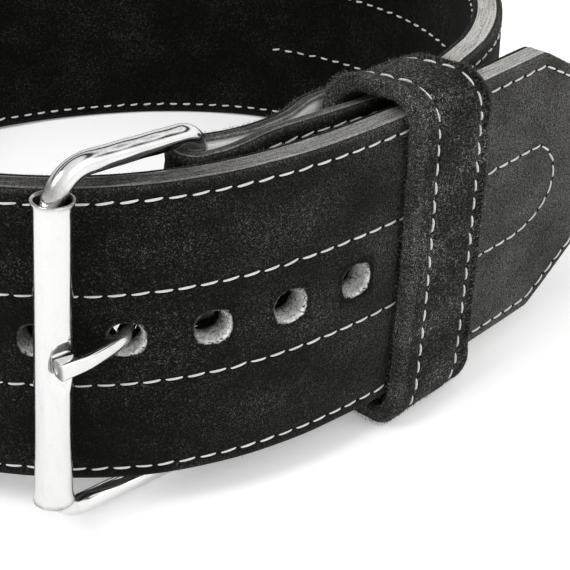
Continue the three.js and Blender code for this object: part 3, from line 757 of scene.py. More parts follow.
@dataclass(frozen=True)
class EdgeFinish:
    """Cut leather: grey fibres that run along the strap, paler where it is raw."""

    name: str
    dark: tuple[float, float, float, float] = (0.010, 0.010, 0.009, 1.0)
    pale: tuple[float, float, float, float] = (0.17, 0.167, 0.155, 1.0)
    worn_and_lit: tuple[float, float, float, float] = (0.55, 0.54, 0.51, 1.0)
    raw: tuple[float, float, float, float] = (0.97, 0.965, 0.94, 1.0)

    def make(self) -> bpy.types.Material:
        """Builds the material."""
        g = Graph(self.name)
        along = g.node("ShaderNodeUVMap", {"uv_map": "along"})
        streak = g.noise(1.0, 3.0, 0.6, (90.0, 1500.0, 1.0), along)
        fibre = g.noise(1.0, 2.0, 0.6, (420.0, 3800.0, 1.0), along)
        patch = g.noise(55.0, 2.0, 0.5)
        fleck = g.noise(1900.0, 2.0, 0.5)
        light = streak.band(0.40, 0.66) * 0.40 + fibre.band(0.46, 0.66) * 0.35
        light = light * (patch.band(0.3, 0.7) * 0.8 + 0.4) + fleck.band(0.48, 0.66) * 0.35
        base = g.blend(light, self.dark, self.pale)
        # The pale worn colour on the cut edges: wear, plus painted light at the tip, along the
        # tongue and at the far turn.
        worn_and_lit = g.value("wear_plus_light") * (streak.band(0.32, 0.6) * 0.45
                                  + fleck.band(0.38, 0.6) * 0.45 + 0.15)
        flesh = g.value("raw") * (fleck.band(0.2, 0.6) * 0.2 + 0.8)
        # Raw faces and hole fibres show pale, the hole fibres strongest on the lit lower walls
        # as painted light.
        colour = g.blend(flesh.most(g.value("bare_and_lit") * g.fluff()),
                         g.blend(worn_and_lit, base, self.worn_and_lit), self.raw)
        height = streak * 0.8 + fibre * 0.5 + fleck * 0.3
        return g.finish({
            "Base Color": colour, "Roughness": 0.88, "Specular IOR Level": 0.1,
            "Normal": g.bump(height, 0.0004, 0.9)})


@dataclass(frozen=True)
class PlatedFinish:
    """Bright plated steel with faint scuffs and brown tarnish where it was soldered."""

    name: str
    bright: tuple[float, float, float, float] = (0.70, 0.70, 0.695, 1.0)
    dull: tuple[float, float, float, float] = (0.50, 0.50, 0.50, 1.0)
    brown: tuple[float, float, float, float] = (0.13, 0.10, 0.078, 1.0)
    rough: float = 0.12

    def make(self) -> bpy.types.Material:
        """Builds the material."""
        g = Graph(self.name)
        scuff = g.noise(260.0, 4.0, 0.65, (1.0, 1.0, 0.35))
        speck = g.noise(1400.0, 3.0, 0.6)
        haze = g.noise(110.0, 3.0, 0.6, (1.0, 1.0, 0.06))
        marks = (scuff.band(0.50, 0.72) * 0.4 + speck.band(0.58, 0.72) * 0.5
                 + haze.band(0.52, 0.66) * 0.35)
        stain = g.value("tarnish") * (scuff.band(0.35, 0.6) * 0.7 + 0.3)
        colour = g.blend(stain, g.blend(marks * 0.55, self.bright, self.dull), self.brown)
        return g.finish({
            "Base Color": colour, "Metallic": 1.0,
            "Roughness": marks * 0.16 + self.rough + stain * 0.3,
            "Normal": g.bump(scuff * 0.7 + speck * 0.3, 0.00005, 0.5)})


@dataclass(frozen=True)
class ThreadFinish:
    """Pale waxed thread, with its twist."""

    name: str = "pale_thread"
    pale: tuple[float, float, float, float] = (0.86, 0.85, 0.81, 1.0)
    shade: tuple[float, float, float, float] = (0.52, 0.50, 0.47, 1.0)

    def make(self) -> bpy.types.Material:
        """Builds the material."""
        g = Graph(self.name)
        along = g.node("ShaderNodeUVMap", {"uv_map": "along"})
        twist = g.node("ShaderNodeTexWave", {"wave_type": "BANDS"}, {
            "Vector": along, "Scale": 1.0, "Distortion": 1.5, "Detail": 2.0}, out="Fac")
        soil = g.noise(90.0, 3.0, 0.6)
        shade = twist.band(0.1, 0.6) * (soil.band(0.25, 0.6) * 0.5 + 0.5)
        return g.finish({
            "Base Color": g.blend(shade, self.shade, self.pale), "Roughness": 0.7,
            "Normal": g.bump(twist, 0.0002, 0.7)})


@dataclass(frozen=True)
class FibreFinish:
    """Loose fibres of the nap, each a shade of its own."""

    name: str
    dark: tuple[float, float, float, float]
    pale: tuple[float, float, float, float]

    def make(self) -> bpy.types.Material:
        """Builds the material."""
        g = Graph(self.name)
        tone = g.value("wear_plus_light")
        return g.finish({"Base Color": g.blend(tone, self.dark, self.pale),
                         "Roughness": 0.9, "Specular IOR Level": 0.2})


# ---- The strap -----------------------------------------------------------------------------


@dataclass(frozen=True)
class Relief:
    """Dents of the strap's faces: sewn channels, puckers and slow unevenness."""

    rows: tuple[float, ...] = STITCH_ROWS
    middle_from: float = 43.0
    middle_to: float = 400.0
    sink: float = 0.42
    spread: float = 1.5
    pitch: float = 6.5

    def outer(self, p: Array, z: Array) -> Array:
        """Depth below the even outer face (mm).

        Each row is a bell-shaped channel across the height, deeper at the stitch holes, on
        top of a slow ripple.
        """
        deep = 0.16 * ripple(p, z)
        swing = 0.75 + 0.25 * np.cos(2 * math.pi * p / self.pitch)
        for row in self.rows:
            here = np.ones_like(p) if row in (self.rows[0], self.rows[-1]) else (
                smooth((p - self.middle_from) / 4) * smooth((self.middle_to - p) / 4))
            deep = deep + self.sink * swing * here * np.exp(-((z - row) / self.spread) ** 2)
        return deep


def rounded(radius: float, end: float, sign: float, falling: bool) -> tuple[Array, Array]:
    """A rounded corner of a layer's section.

    Args:
        radius: radius of the quarter circle (mm).
        end: height of the edge (mm).
        sign: 1 at the upper edge, -1 at the lower.
        falling: the outline goes from a face to the edge, and not back to a face.

    Returns:
        Heights of its points and their depths below the face (mm).
    """
    arc = np.linspace(0, math.pi / 2, CORNER_POINTS + 1)
    turn = arc[1:] if falling else arc[::-1][:-1]
    return end - sign * radius * (1 - np.sin(turn)), radius * (1 - np.cos(turn))


def wall_between(a: Array, b: Array) -> Array:
    """Faces between two closed rings of as many points."""
    return np.stack([a, np.roll(a, -1), np.roll(b, -1), b], -1)


@dataclass
class Layer:
    """One layer of the strap as a closed solid with the holes cut through it.

    Attributes:
        route: the strap's route.
        last: how many of its stations the layer covers, from the tip.
        top: depth of the outer face at each station (mm).
        base: depth of the inner face.
        outer_levels: heights of the outer face's points.
        inner_levels: heights of the inner face's points.
        outer_round: radius of the outer corners.
        inner_round: radius of the inner corners.
        edge_points: how many points lie between the corners of an edge.
        inset: how far the edges stop short of the strap's width.
        edge_rough: how far fibres stand out of the cut edges.
        tip_pale_and_lit: paleness of the tip, partly wear and partly painted light,
        tongue_painted_light the painted light along the tongue, and turn_pale_and_lit
        the paleness of the far turn, partly painted light.
        outer_relief: dents of the outer face, and inner_relief those of the inner face.
        slot: the slot at the fold goes through this layer.
        hole_radius: radius of the holes.
        hole_fluff: how much raw fluff shows at each ring of a hole, from the outer face in.
        seed: seed of the unevenness.
    """

    route: Route
    last: int
    top: Array
    base: Array
    outer_levels: Array
    inner_levels: Array
    outer_round: float
    inner_round: float
    edge_points: int = 4
    inset: float = 0.0
    edge_rough: float = 0.0
    # Paleness of the tip and the far turn is partly wear and partly painted light; along the
    # tongue it is painted light.
    tip_pale_and_lit: float = 0.0
    tongue_painted_light: float = 0.0
    turn_pale_and_lit: float = 0.0
    outer_relief: Callable[[Array, Array], Array] | None = None
    inner_relief: Callable[[Array, Array], Array] | None = None
    slot: bool = False
    hole_radius: float = HOLE_RADIUS
    hole_fluff: tuple[float, ...] = (0.0,) * HOLE_RINGS
    seed: int = 1

    def section(self) -> tuple[Array, Array, Array, int]:
        """The layer's closed outline across the strap.

        The outer face runs up, then the upper edge in, the inner face down and the lower
        edge out. A share says how far a point is from the outer to the inner face, and a
        quarter circle at each corner sinks its points.

        Returns:
            Heights, shares and sinks of the outline, and the number of the inner face's
            first point. The outer face's is 0.
        """
        low, high = self.inset, BELT_WIDTH - self.inset
        ro, ri = self.outer_round, self.inner_round
        outer = self.outer_levels
        inner = self.inner_levels[::-1]
        z_a, sink_a = rounded(ro, high, 1, True)
        z_b, sink_b = rounded(ri, high, 1, False)
        z_c, sink_c = rounded(ri, low, -1, True)
        z_d, sink_d = rounded(ro, low, -1, False)
        inner_share = np.linspace(0, 1, self.edge_points + 2)[1:-1]
        z = np.concatenate([outer, z_a, np.full(self.edge_points, high), z_b, inner, z_c,
                            np.full(self.edge_points, low), z_d])
        share = np.concatenate([0 * outer, 0 * z_a, inner_share, 0 * z_b + 1, 0 * inner + 1,
                                0 * z_c + 1, inner_share[::-1], 0 * z_d])
        edge_sink = ro * (1 - inner_share) - ri * inner_share
        sink = np.concatenate([0 * outer, sink_a, edge_sink, -sink_b, 0 * inner, -sink_c,
                               edge_sink[::-1], sink_d])
        return z, share, sink, len(outer) + 2 * CORNER_POINTS + self.edge_points

    def surface(self) -> Surface:
        """The layer's mesh: its outline carried along the strap, with a tunnel at each hole."""
        route = self.route
        z, share, sink, first_inner = self.section()
        p = route.p[:self.last]
        top, base = self.top[:self.last], self.base[:self.last]
        rows, columns = len(p), len(z)
        pp = np.repeat(p[:, None], columns, 1)
        zz = np.repeat(z[None, :], rows, 0)
        depth = top[:, None] * (1 - share) + base[:, None] * share + sink
        on_outer = np.zeros(columns, bool)
        on_outer[:len(self.outer_levels) + CORNER_POINTS] = True
        on_outer[-CORNER_POINTS:] = True
        on_inner = np.zeros(columns, bool)
        past_inner = first_inner + len(self.inner_levels) + CORNER_POINTS
        on_inner[first_inner - CORNER_POINTS:past_inner] = True
        if self.outer_relief is not None:
            depth = depth + self.outer_relief(pp, zz) * on_outer
        if self.inner_relief is not None:
            depth = depth - self.inner_relief(pp, zz) * on_inner
        lift = self._edge_lift(rows, columns, z)
        level = route.squeeze(pp, zz) + lift
        points = route.spot(pp, level, depth).reshape(-1, 3)
        faces = ring_faces(rows, columns, False, True)
        uv = np.stack([pp, depth + 0.37 * zz], -1).reshape(-1, 2) / 1000.0
        near_edge = np.minimum(zz, BELT_WIDTH - zz)
        # Paleness: painted light and wear at the tip, tongue and far turn, and worn edges of
        # the faces.
        wear_plus_light = self.wear_and_painted_light(pp) + 0.25 * np.exp(-near_edge / 0.8) * (on_outer | on_inner)
        values = {"wear_plus_light": wear_plus_light.ravel(), "raw": self._raw(pp, zz, share),
                  "bare_and_lit": 0 * wear_plus_light.ravel()}
        caps = [np.arange(columns), np.arange(columns)[::-1] + (rows - 1) * columns]
        return self._with_holes(Surface(points, [faces], caps, uv, values), columns,
                                first_inner)

    def wear_and_painted_light(self, pp: Array) -> Array:
        """Paleness from wear and from painted light.

        The tip's, partly wear and partly painted light, fades out from 90 to 150 mm along
        the strap and the tongue's painted light from 155 to 215 mm; the far turn's, partly
        painted light, is a bell of 65 mm about 940 mm.
        """
        tip, tongue = smooth((150.0 - pp) / 60.0), smooth((215.0 - pp) / 60.0)
        turn = np.exp(-((pp - 940.0) / 65.0) ** 2)
        return self.tip_pale_and_lit * tip + self.tongue_painted_light * tongue + self.turn_pale_and_lit * turn

    def _raw(self, pp: Array, zz: Array, share: Array) -> Array:
        """1 where the thinned leather's raw side faces another ply, else 0.

        The leather is raw up to 128 mm along the tongue, and no nearer an edge than 0.9 mm.
        """
        place = np.interp(pp, self.route.p, self.route.place_on_tongue)
        inside = (zz > 0.9) & (zz < BELT_WIDTH - 0.9)
        return ((place < 128) & (share[None, :] > 0.999) & inside).astype(float).ravel()

    def _edge_lift(self, rows: int, columns: int, z: Array) -> Array:
        """Fibres that stand out of the cut edges.

        Random walks along the strap, one for each point of the edge, averaged over a few
        stations and pointing away from the middle.
        """
        if self.edge_rough <= 0:
            return np.zeros((rows, columns))
        dice = np.random.default_rng(self.seed)
        raw = dice.normal(size=(rows + 8, columns))
        kernel = np.array([1, 2, 3, 4, 3, 2, 1.0]) / 16
        soft = sum(k * raw[n:n + rows] for n, k in enumerate(kernel))
        edge = np.minimum(z - z.min(), z.max() - z) < 0.05
        return self.edge_rough * soft * edge * np.sign(z - MIDDLE)

    def _first_station(self, place: float) -> int:
        """Number of the first station of the cells about a hole, given its place."""
        return int(np.argmin(np.abs(self.route.p - place))) - HOLE_CELLS // 2

    def _tunnel(self, hole: float) -> tuple[Array, Array, Array]:
        """The rings of a hole's wall.

        They blend from the square of cells to a slightly uneven circle while they sink
        through the layer, and back to the square. Raw fluff shows low and towards the tip,
        on the wall that faces the light: there its pale colour is partly painted light.

        Args:
            hole: the hole's place on the tongue (mm).

        Returns:
            Points (mm), UV and raw fluff, ring by ring.
        """
        route = self.route
        at = TONGUE_LENGTH - hole
        u, v = loop_round(HOLE_CELLS, HOLE_CELLS)
        p = route.p[self._first_station(at) + u]
        z = HOLE_HEIGHT + (v - HOLE_CELLS // 2) * route.hole_cell
        angle = np.arctan2(z - HOLE_HEIGHT, p - at)
        dice = np.random.default_rng(self.seed * 100 + int(hole) + 60)
        start = np.interp(at, route.p, self.top)
        deep = np.interp(at, route.p, self.base) - start
        blends = np.array([0.45, 0.78, 0.93, 1.0, 1.0, 1.0, 1.0, 0.93, 0.78, 0.45])[:, None]
        depths = np.array([0.0, 0.06, 0.22, 0.55, deep * 0.38, deep * 0.62,
                           deep - 0.55, deep - 0.22, deep - 0.06, deep])
        sunk = np.repeat((np.clip(depths, 0, deep) + start)[:, None], HOLE_SIDES, 1)
        radius = self.hole_radius + 0.14 * dice.normal(size=(HOLE_RINGS, HOLE_SIDES))
        ring_p = p + (at + radius * np.cos(angle) - p) * blends
        ring_z = z + (HOLE_HEIGHT + radius * np.sin(angle) - z) * blends
        if self.outer_relief is not None:
            fade = np.array([1, 0.6, 0.3] + [0] * (HOLE_RINGS - 3))[:, None]
            sunk = sunk + fade * self.outer_relief(ring_p, ring_z)
        points = route.spot(ring_p, ring_z, sunk).reshape(-1, 3)
        uv = np.stack([ring_p, sunk * 3 + 0.5 * ring_z], -1).reshape(-1, 2) / 1000.0
        # Painted light: the pale raw fibres are weighted to the hole's lit lower wall towards
        # the tip, and kept faint on its shaded upper wall.
        lower = (0.5 + 0.5 * np.cos(angle + 2.36)) ** 1.5
        fluff = np.array(self.hole_fluff)[:, None] * (0.10 + 0.90 * lower[None, :])
        return points, uv, fluff.ravel()

    def _with_holes(self, shell: Surface, columns: int, first_inner: int) -> Surface:
        """Cuts the holes, and the slot where the layer has one.

        A square of cells of either face makes way for each hole's tunnel.

        Args:
            shell: the layer without its holes.
            columns: points across the strap.
            first_inner: number of the inner face's first point.

        Returns:
            The layer with its holes.
        """
        half = HOLE_CELLS // 2 * self.route.hole_cell
        outer = int(np.argmin(np.abs(self.outer_levels - (HOLE_HEIGHT - half))))
        inner = first_inner + int(np.argmin(np.abs(
            self.inner_levels[::-1] - (HOLE_HEIGHT + half))))
        keep = np.ones(len(shell.faces[0]), bool)
        u, v = loop_round(HOLE_CELLS, HOLE_CELLS)
        total = len(shell.points)
        walls = []
        for hole in HOLES:
            first = self._first_station(TONGUE_LENGTH - hole)
            cells = (first + np.arange(HOLE_CELLS))[:, None] * columns + np.arange(HOLE_CELLS)
            keep[(cells + outer).ravel()] = False
            keep[(cells + inner).ravel()] = False
            rings = [(first + u) * columns + outer + v,
                     *(total + np.arange(HOLE_RINGS * HOLE_SIDES).reshape(HOLE_RINGS, -1)),
                     (first + u) * columns + inner + HOLE_CELLS - v]
            walls += [wall_between(a, b) for a, b in zip(rings[:-1], rings[1:])]
            total += HOLE_RINGS * HOLE_SIDES
        if self.slot:
            walls.append(self._slot(keep, columns, outer, inner))
        points, uv, fluff = zip(*(self._tunnel(hole) for hole in HOLES))
        bare_and_lit = np.concatenate(fluff)
        added = {"wear_plus_light": 0 * bare_and_lit + self.wear_and_painted_light(np.array(TONGUE_LENGTH)), "raw": 0 * bare_and_lit,
                 "bare_and_lit": bare_and_lit}
        return Surface(
            np.concatenate([shell.points, *points]),
            [shell.faces[0][keep], np.concatenate(walls)[:, ::-1]], shell.caps,
            np.concatenate([shell.uv, *uv]),
            {name: np.concatenate([shell.values[name], added[name]]) for name in added})

    def _slot(self, keep: Array, columns: int, outer: int, inner: int) -> Array:
        """Cuts the slot at the fold, from one side of the bar round to the other.

        Args:
            keep: which faces of the outline stay; the slot's are marked here.
            columns: points across the strap.
            outer: number of the outer face's point at the holes' lower side.
            inner: number of the inner face's point at the holes' upper side.

        Returns:
            The faces of the slot's wall, which join the two faces' cut edges.
        """
        places = self.route.place_on_tongue
        ply, back = self.route.first_ply, self.route.fold_end
        first = ply + int(np.argmax(places[ply:] < BAR_AT + SLOT_REACH))
        long = back + int(np.argmax(places[back:] > BAR_AT + SLOT_REACH)) - first
        outer, inner = (side + (HOLE_CELLS - SLOT_CELLS) // 2 for side in (outer, inner))
        cells = (first + np.arange(long))[:, None] * columns + np.arange(SLOT_CELLS)
        keep[(cells + outer).ravel()] = False
        keep[(cells + inner).ravel()] = False
        u, v = loop_round(long, SLOT_CELLS)
        return wall_between((first + u) * columns + outer + v,
                            (first + u) * columns + inner + SLOT_CELLS - v)


@dataclass
class Strap:
    """The laminated strap: outer suede, leather and inner suede."""

    route: Route
    relief: Relief = field(default_factory=Relief)

    def build(self, where: Placement, suede: bpy.types.Material,
              leather: bpy.types.Material, shaded_suede: bpy.types.Material) -> None:
        """Makes the three layers and hides their CAD nodes."""
        route, cell = self.route, self.route.hole_cell
        count = len(route.p)
        zero = np.zeros(count)
        rows = self.relief.rows
        fine = levels(rows, 1.6, 98.4, cell, 1.9)
        plain = levels((), 1.6, 98.4, cell, 14.0)
        # The outer suede is painted paler at the tip and the far turn, partly as light, and
        # along the tongue as painted light.
        outer = Layer(route, count, zero, zero + OUTER_SUEDE, fine, plain, 1.35, 0.2,
                      edge_points=3, edge_rough=0.14, tip_pale_and_lit=0.52, tongue_painted_light=0.10,
                      turn_pale_and_lit=0.3, slot=True,
                      hole_fluff=(0, 0, 0.6, 1, 1, 1, 1, 0.9, 0.6, 0.4),
                      outer_relief=self.relief.outer, seed=3)
        skin = outer.surface().build("outer_suede_sheet", where, suede)
        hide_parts("outer_suede")
        broad = levels((2.0, 98.0), 0.7, 99.3, cell, 9.0, (0.0, 1.0))
        # The leather's cut edges are painted paler at the tip, along the tongue and most at the
        # far turn, partly as painted light.
        core = Layer(route, count, zero + OUTER_SUEDE + 0.12, route.core, broad, broad,
                     0.45, 0.45, edge_points=12, edge_rough=0.26, inset=-0.15,
                     tip_pale_and_lit=0.38, tongue_painted_light=0.38, turn_pale_and_lit=1.1, slot=True,
                     hole_fluff=(0.5, 0.8, 1, 1, 1, 0.7, 0.15, 0, 0, 0), seed=5)
        heart = core.surface().build("leather_sheet", where, leather)
        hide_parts("leather_core")
        soft = levels(rows, 1.0, 99.0, cell, 3.2, (0.0, 1.5))
        lining = Layer(route, route.suede_end, zero + CORE_DEPTH + 0.12,
                       zero + THICKNESS, plain, soft, 0.15, 0.8, edge_points=2,
                       edge_rough=0.08, inner_relief=self.relief.outer,
                       hole_radius=HOLE_RADIUS - 1.2, seed=7)
        # The lining's darker suede is partly painted shade of the inner wall.
        inside = lining.surface().build("inner_suede_sheet", where, shaded_suede)
        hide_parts("inner_suede")


# ---- Stitches ------------------------------------------------------------------------------


@dataclass(frozen=True)
class Thread:
    """Thread of the stitches."""

    radius: float = 0.38
    pitch: float = 6.5
    gap: float = 0.95
    lift: float = 0.30
    sides: int = 7
    steps: int = 8

    def surface(self, starts: Array, ends: Array, normals: Array, seed: int) -> Surface:
        """Every stitch of a row as a small arched tube.

        Along a stitch the thread rises out of its hole as the fourth root of a sine, lies
        flat and dives again; round it the section is a circle, tapered at both ends.

        Args:
            starts: where each stitch comes out (mm).
            ends: where it goes in (mm).
            normals: outward directions.
            seed: seed of the small differences between stitches.

        Returns:
            The stitches as one surface.
        """
        dice = np.random.default_rng(seed)
        count = len(starts)
        side = unit(np.cross(ends - starts, normals))
        slant = dice.normal(0, 0.15, (count, 1)) * side
        starts, ends = starts - slant + 0.16 * side, ends + slant - 0.16 * side
        t = np.linspace(0, 1, self.steps)
        arch = np.sin(math.pi * t) ** 0.35
        height = -0.75 * self.radius + (self.lift + 0.75 * self.radius) * arch
        width = self.radius * (0.42 + 0.58 * np.sin(math.pi * t) ** 0.45)
        swell = 1 + dice.normal(0, 0.06, count)
        middle = (starts[:, None] + (ends - starts)[:, None] * t[None, :, None]
                  + normals[:, None] * height[None, :, None])
        angle = 2 * math.pi * np.arange(self.sides) / self.sides
        out = (normals[:, None, None] * np.sin(angle)[None, None, :, None] * 0.85
               + side[:, None, None] * np.cos(angle)[None, None, :, None])
        reach = width[None, :, None, None] * swell[:, None, None, None]
        points = (middle[:, :, None] + out * reach).reshape(-1, 3)
        faces = ring_faces(self.steps, self.sides, False, True)
        size = self.steps * self.sides
        faces = (faces[None] + size * np.arange(count)[:, None, None]).reshape(-1, 4)
        first = np.arange(self.sides)
        caps = [first + size * n for n in range(count)]
        caps += [(first + size - self.sides)[::-1] + size * n for n in range(count)]
        length = np.linalg.norm(ends - starts, axis=1)[:, None, None]
        turn = np.repeat(np.arange(self.sides)[None, None, :] / self.sides, count, 0)
        run = np.repeat((t[None, :, None] * length), self.sides, 2)
        uv = np.stack([run / 0.9 + turn, turn + 0 * run], -1).reshape(-1, 2)
        return Surface(points, [faces], caps, uv)


def march(path: Array, pitch: float, gap: float) -> tuple[Array, Array]:
    """Even stitches along a broken line.

    Args:
        path: corners of the line, with distance along the strap and height (mm).
        pitch: distance from one stitch to the next.
        gap: space between two stitches.

    Returns:
        Where the stitches start and where they end, in the line's own coordinates.
    """
    run = np.concatenate([[0.0], np.cumsum(np.linalg.norm(np.diff(path, axis=0), axis=1))])
    count = max(1, int(run[-1] // pitch))
    begin = np.arange(count) * pitch + gap / 2
    end = begin + pitch - gap
    return tuple(np.stack([np.interp(q, run, path[:, k]) for k in (0, 1)], -1)
                 for q in (begin, end))


@dataclass
class Seams:
    """The strap's rows of stitches, on its outer and inner faces."""

    route: Route
    relief: Relief
    thread: Thread = field(default_factory=Thread)
    under: Thread = field(default_factory=lambda: Thread(gap=2.5, radius=0.46))
    margin: float = 4.0
    loop_end: float = 420.0
    middle_back: float = 203.0

    def paths(self) -> list[tuple[Face, Array]]:
        """The rows, as broken lines of distance along the strap and height."""
        tip = TONGUE_LENGTH
        low, mid_low, mid_high, high = STITCH_ROWS
        end = float(self.route.p[-1]) - self.margin
        suede = float(self.route.p[self.route.suede_end]) - self.margin
        body = TONGUE_LENGTH + ROUND_LENGTH
        edge = np.array([(suede, low), (tip - 168.5, low), (tip - 208, 25.0),
                         (tip - 214, 33.0), (tip - 214, 67.0), (tip - 208, 75.0),
                         (tip - 168.5, high), (suede, high)])
        loop = np.array([(self.loop_end, mid_high), (tip - 169.5, mid_high),
                         (tip - 174, 63.5), (tip - 177.5, 59.0), (tip - 179.5, 53.0),
                         (tip - 178.5, 47.0), (tip - 175, 42.5), (tip - 170, 39.0),
                         (tip - 163, 36.4), (tip - 157, mid_low), (self.loop_end, mid_low)])
        rows = [(face, path) for face in Face for path in (edge, loop)]
        rows += [(face, np.array([(body - self.middle_back, z), (suede, z)]))
                 for face in Face for z in (mid_low, mid_high)]
        rows += [(Face.OUTER, np.array([(suede + 2 * self.margin, z), (end, z)]))
                 for z in STITCH_ROWS]
        return rows

    def build(self, where: Placement, material: bpy.types.Material) -> None:
        """Makes the rows of both faces, and the pricked leather between their stitches."""
        pricked = FibreFinish("pricked_suede", (0.0015, 0.0015, 0.0013, 1),
                              (0.006, 0.006, 0.005, 1)).make()
        for face in Face:
            starts, ends, normals = [], [], []
            label, thread = (("outer", self.thread) if face is Face.OUTER
                             else ("inner", self.under))
            for side, path in self.paths():
                if side is not face:
                    continue
                begin, finish = march(path, thread.pitch, thread.gap)
                begin, finish = self._clear_of_slot(begin, finish)
                starts.append(self._on_face(begin, face))
                ends.append(self._on_face(finish, face))
                middle = (begin[:, 0] + finish[:, 0]) / 2
                normals.append(self.route.outward(middle) * face.value)
            a, b, out = (np.concatenate(part) for part in (starts, ends, normals))
            made = thread.surface(a, b, out, 11)
            made.build(f"{label}_stitches", where, material)
            onward = unit(b - a)
            pricks = Thread(radius=0.44, lift=0.04, sides=6, steps=5).surface(
                b - 0.2 * onward, b + (thread.gap + 0.2) * onward, out, 13)
            pricks.build(f"{label}_pricks", where, pricked)

    def _clear_of_slot(self, begin: Array, finish: Array) -> tuple[Array, Array]:
        """Leaves out stitches that would cross the slot at the fold."""
        reach = SLOT_REACH + 2.0
        middle = (begin[:, 0] + finish[:, 0]) / 2
        keep = ((middle < self.route.p[self.route.fold_start] - reach)
                | (middle > self.route.p[self.route.fold_end] + reach))
        return begin[keep], finish[keep]

    def _on_face(self, spots: Array, face: Face) -> Array:
        """Points of a face, at the bottom of its sewn channels."""
        p, z = spots[:, 0], spots[:, 1]
        sunk = self.relief.outer(p, z)
        depth = sunk if face is Face.OUTER else THICKNESS - sunk
        return self.route.spot(p, z, depth)


# ---- The keeper ----------------------------------------------------------------------------


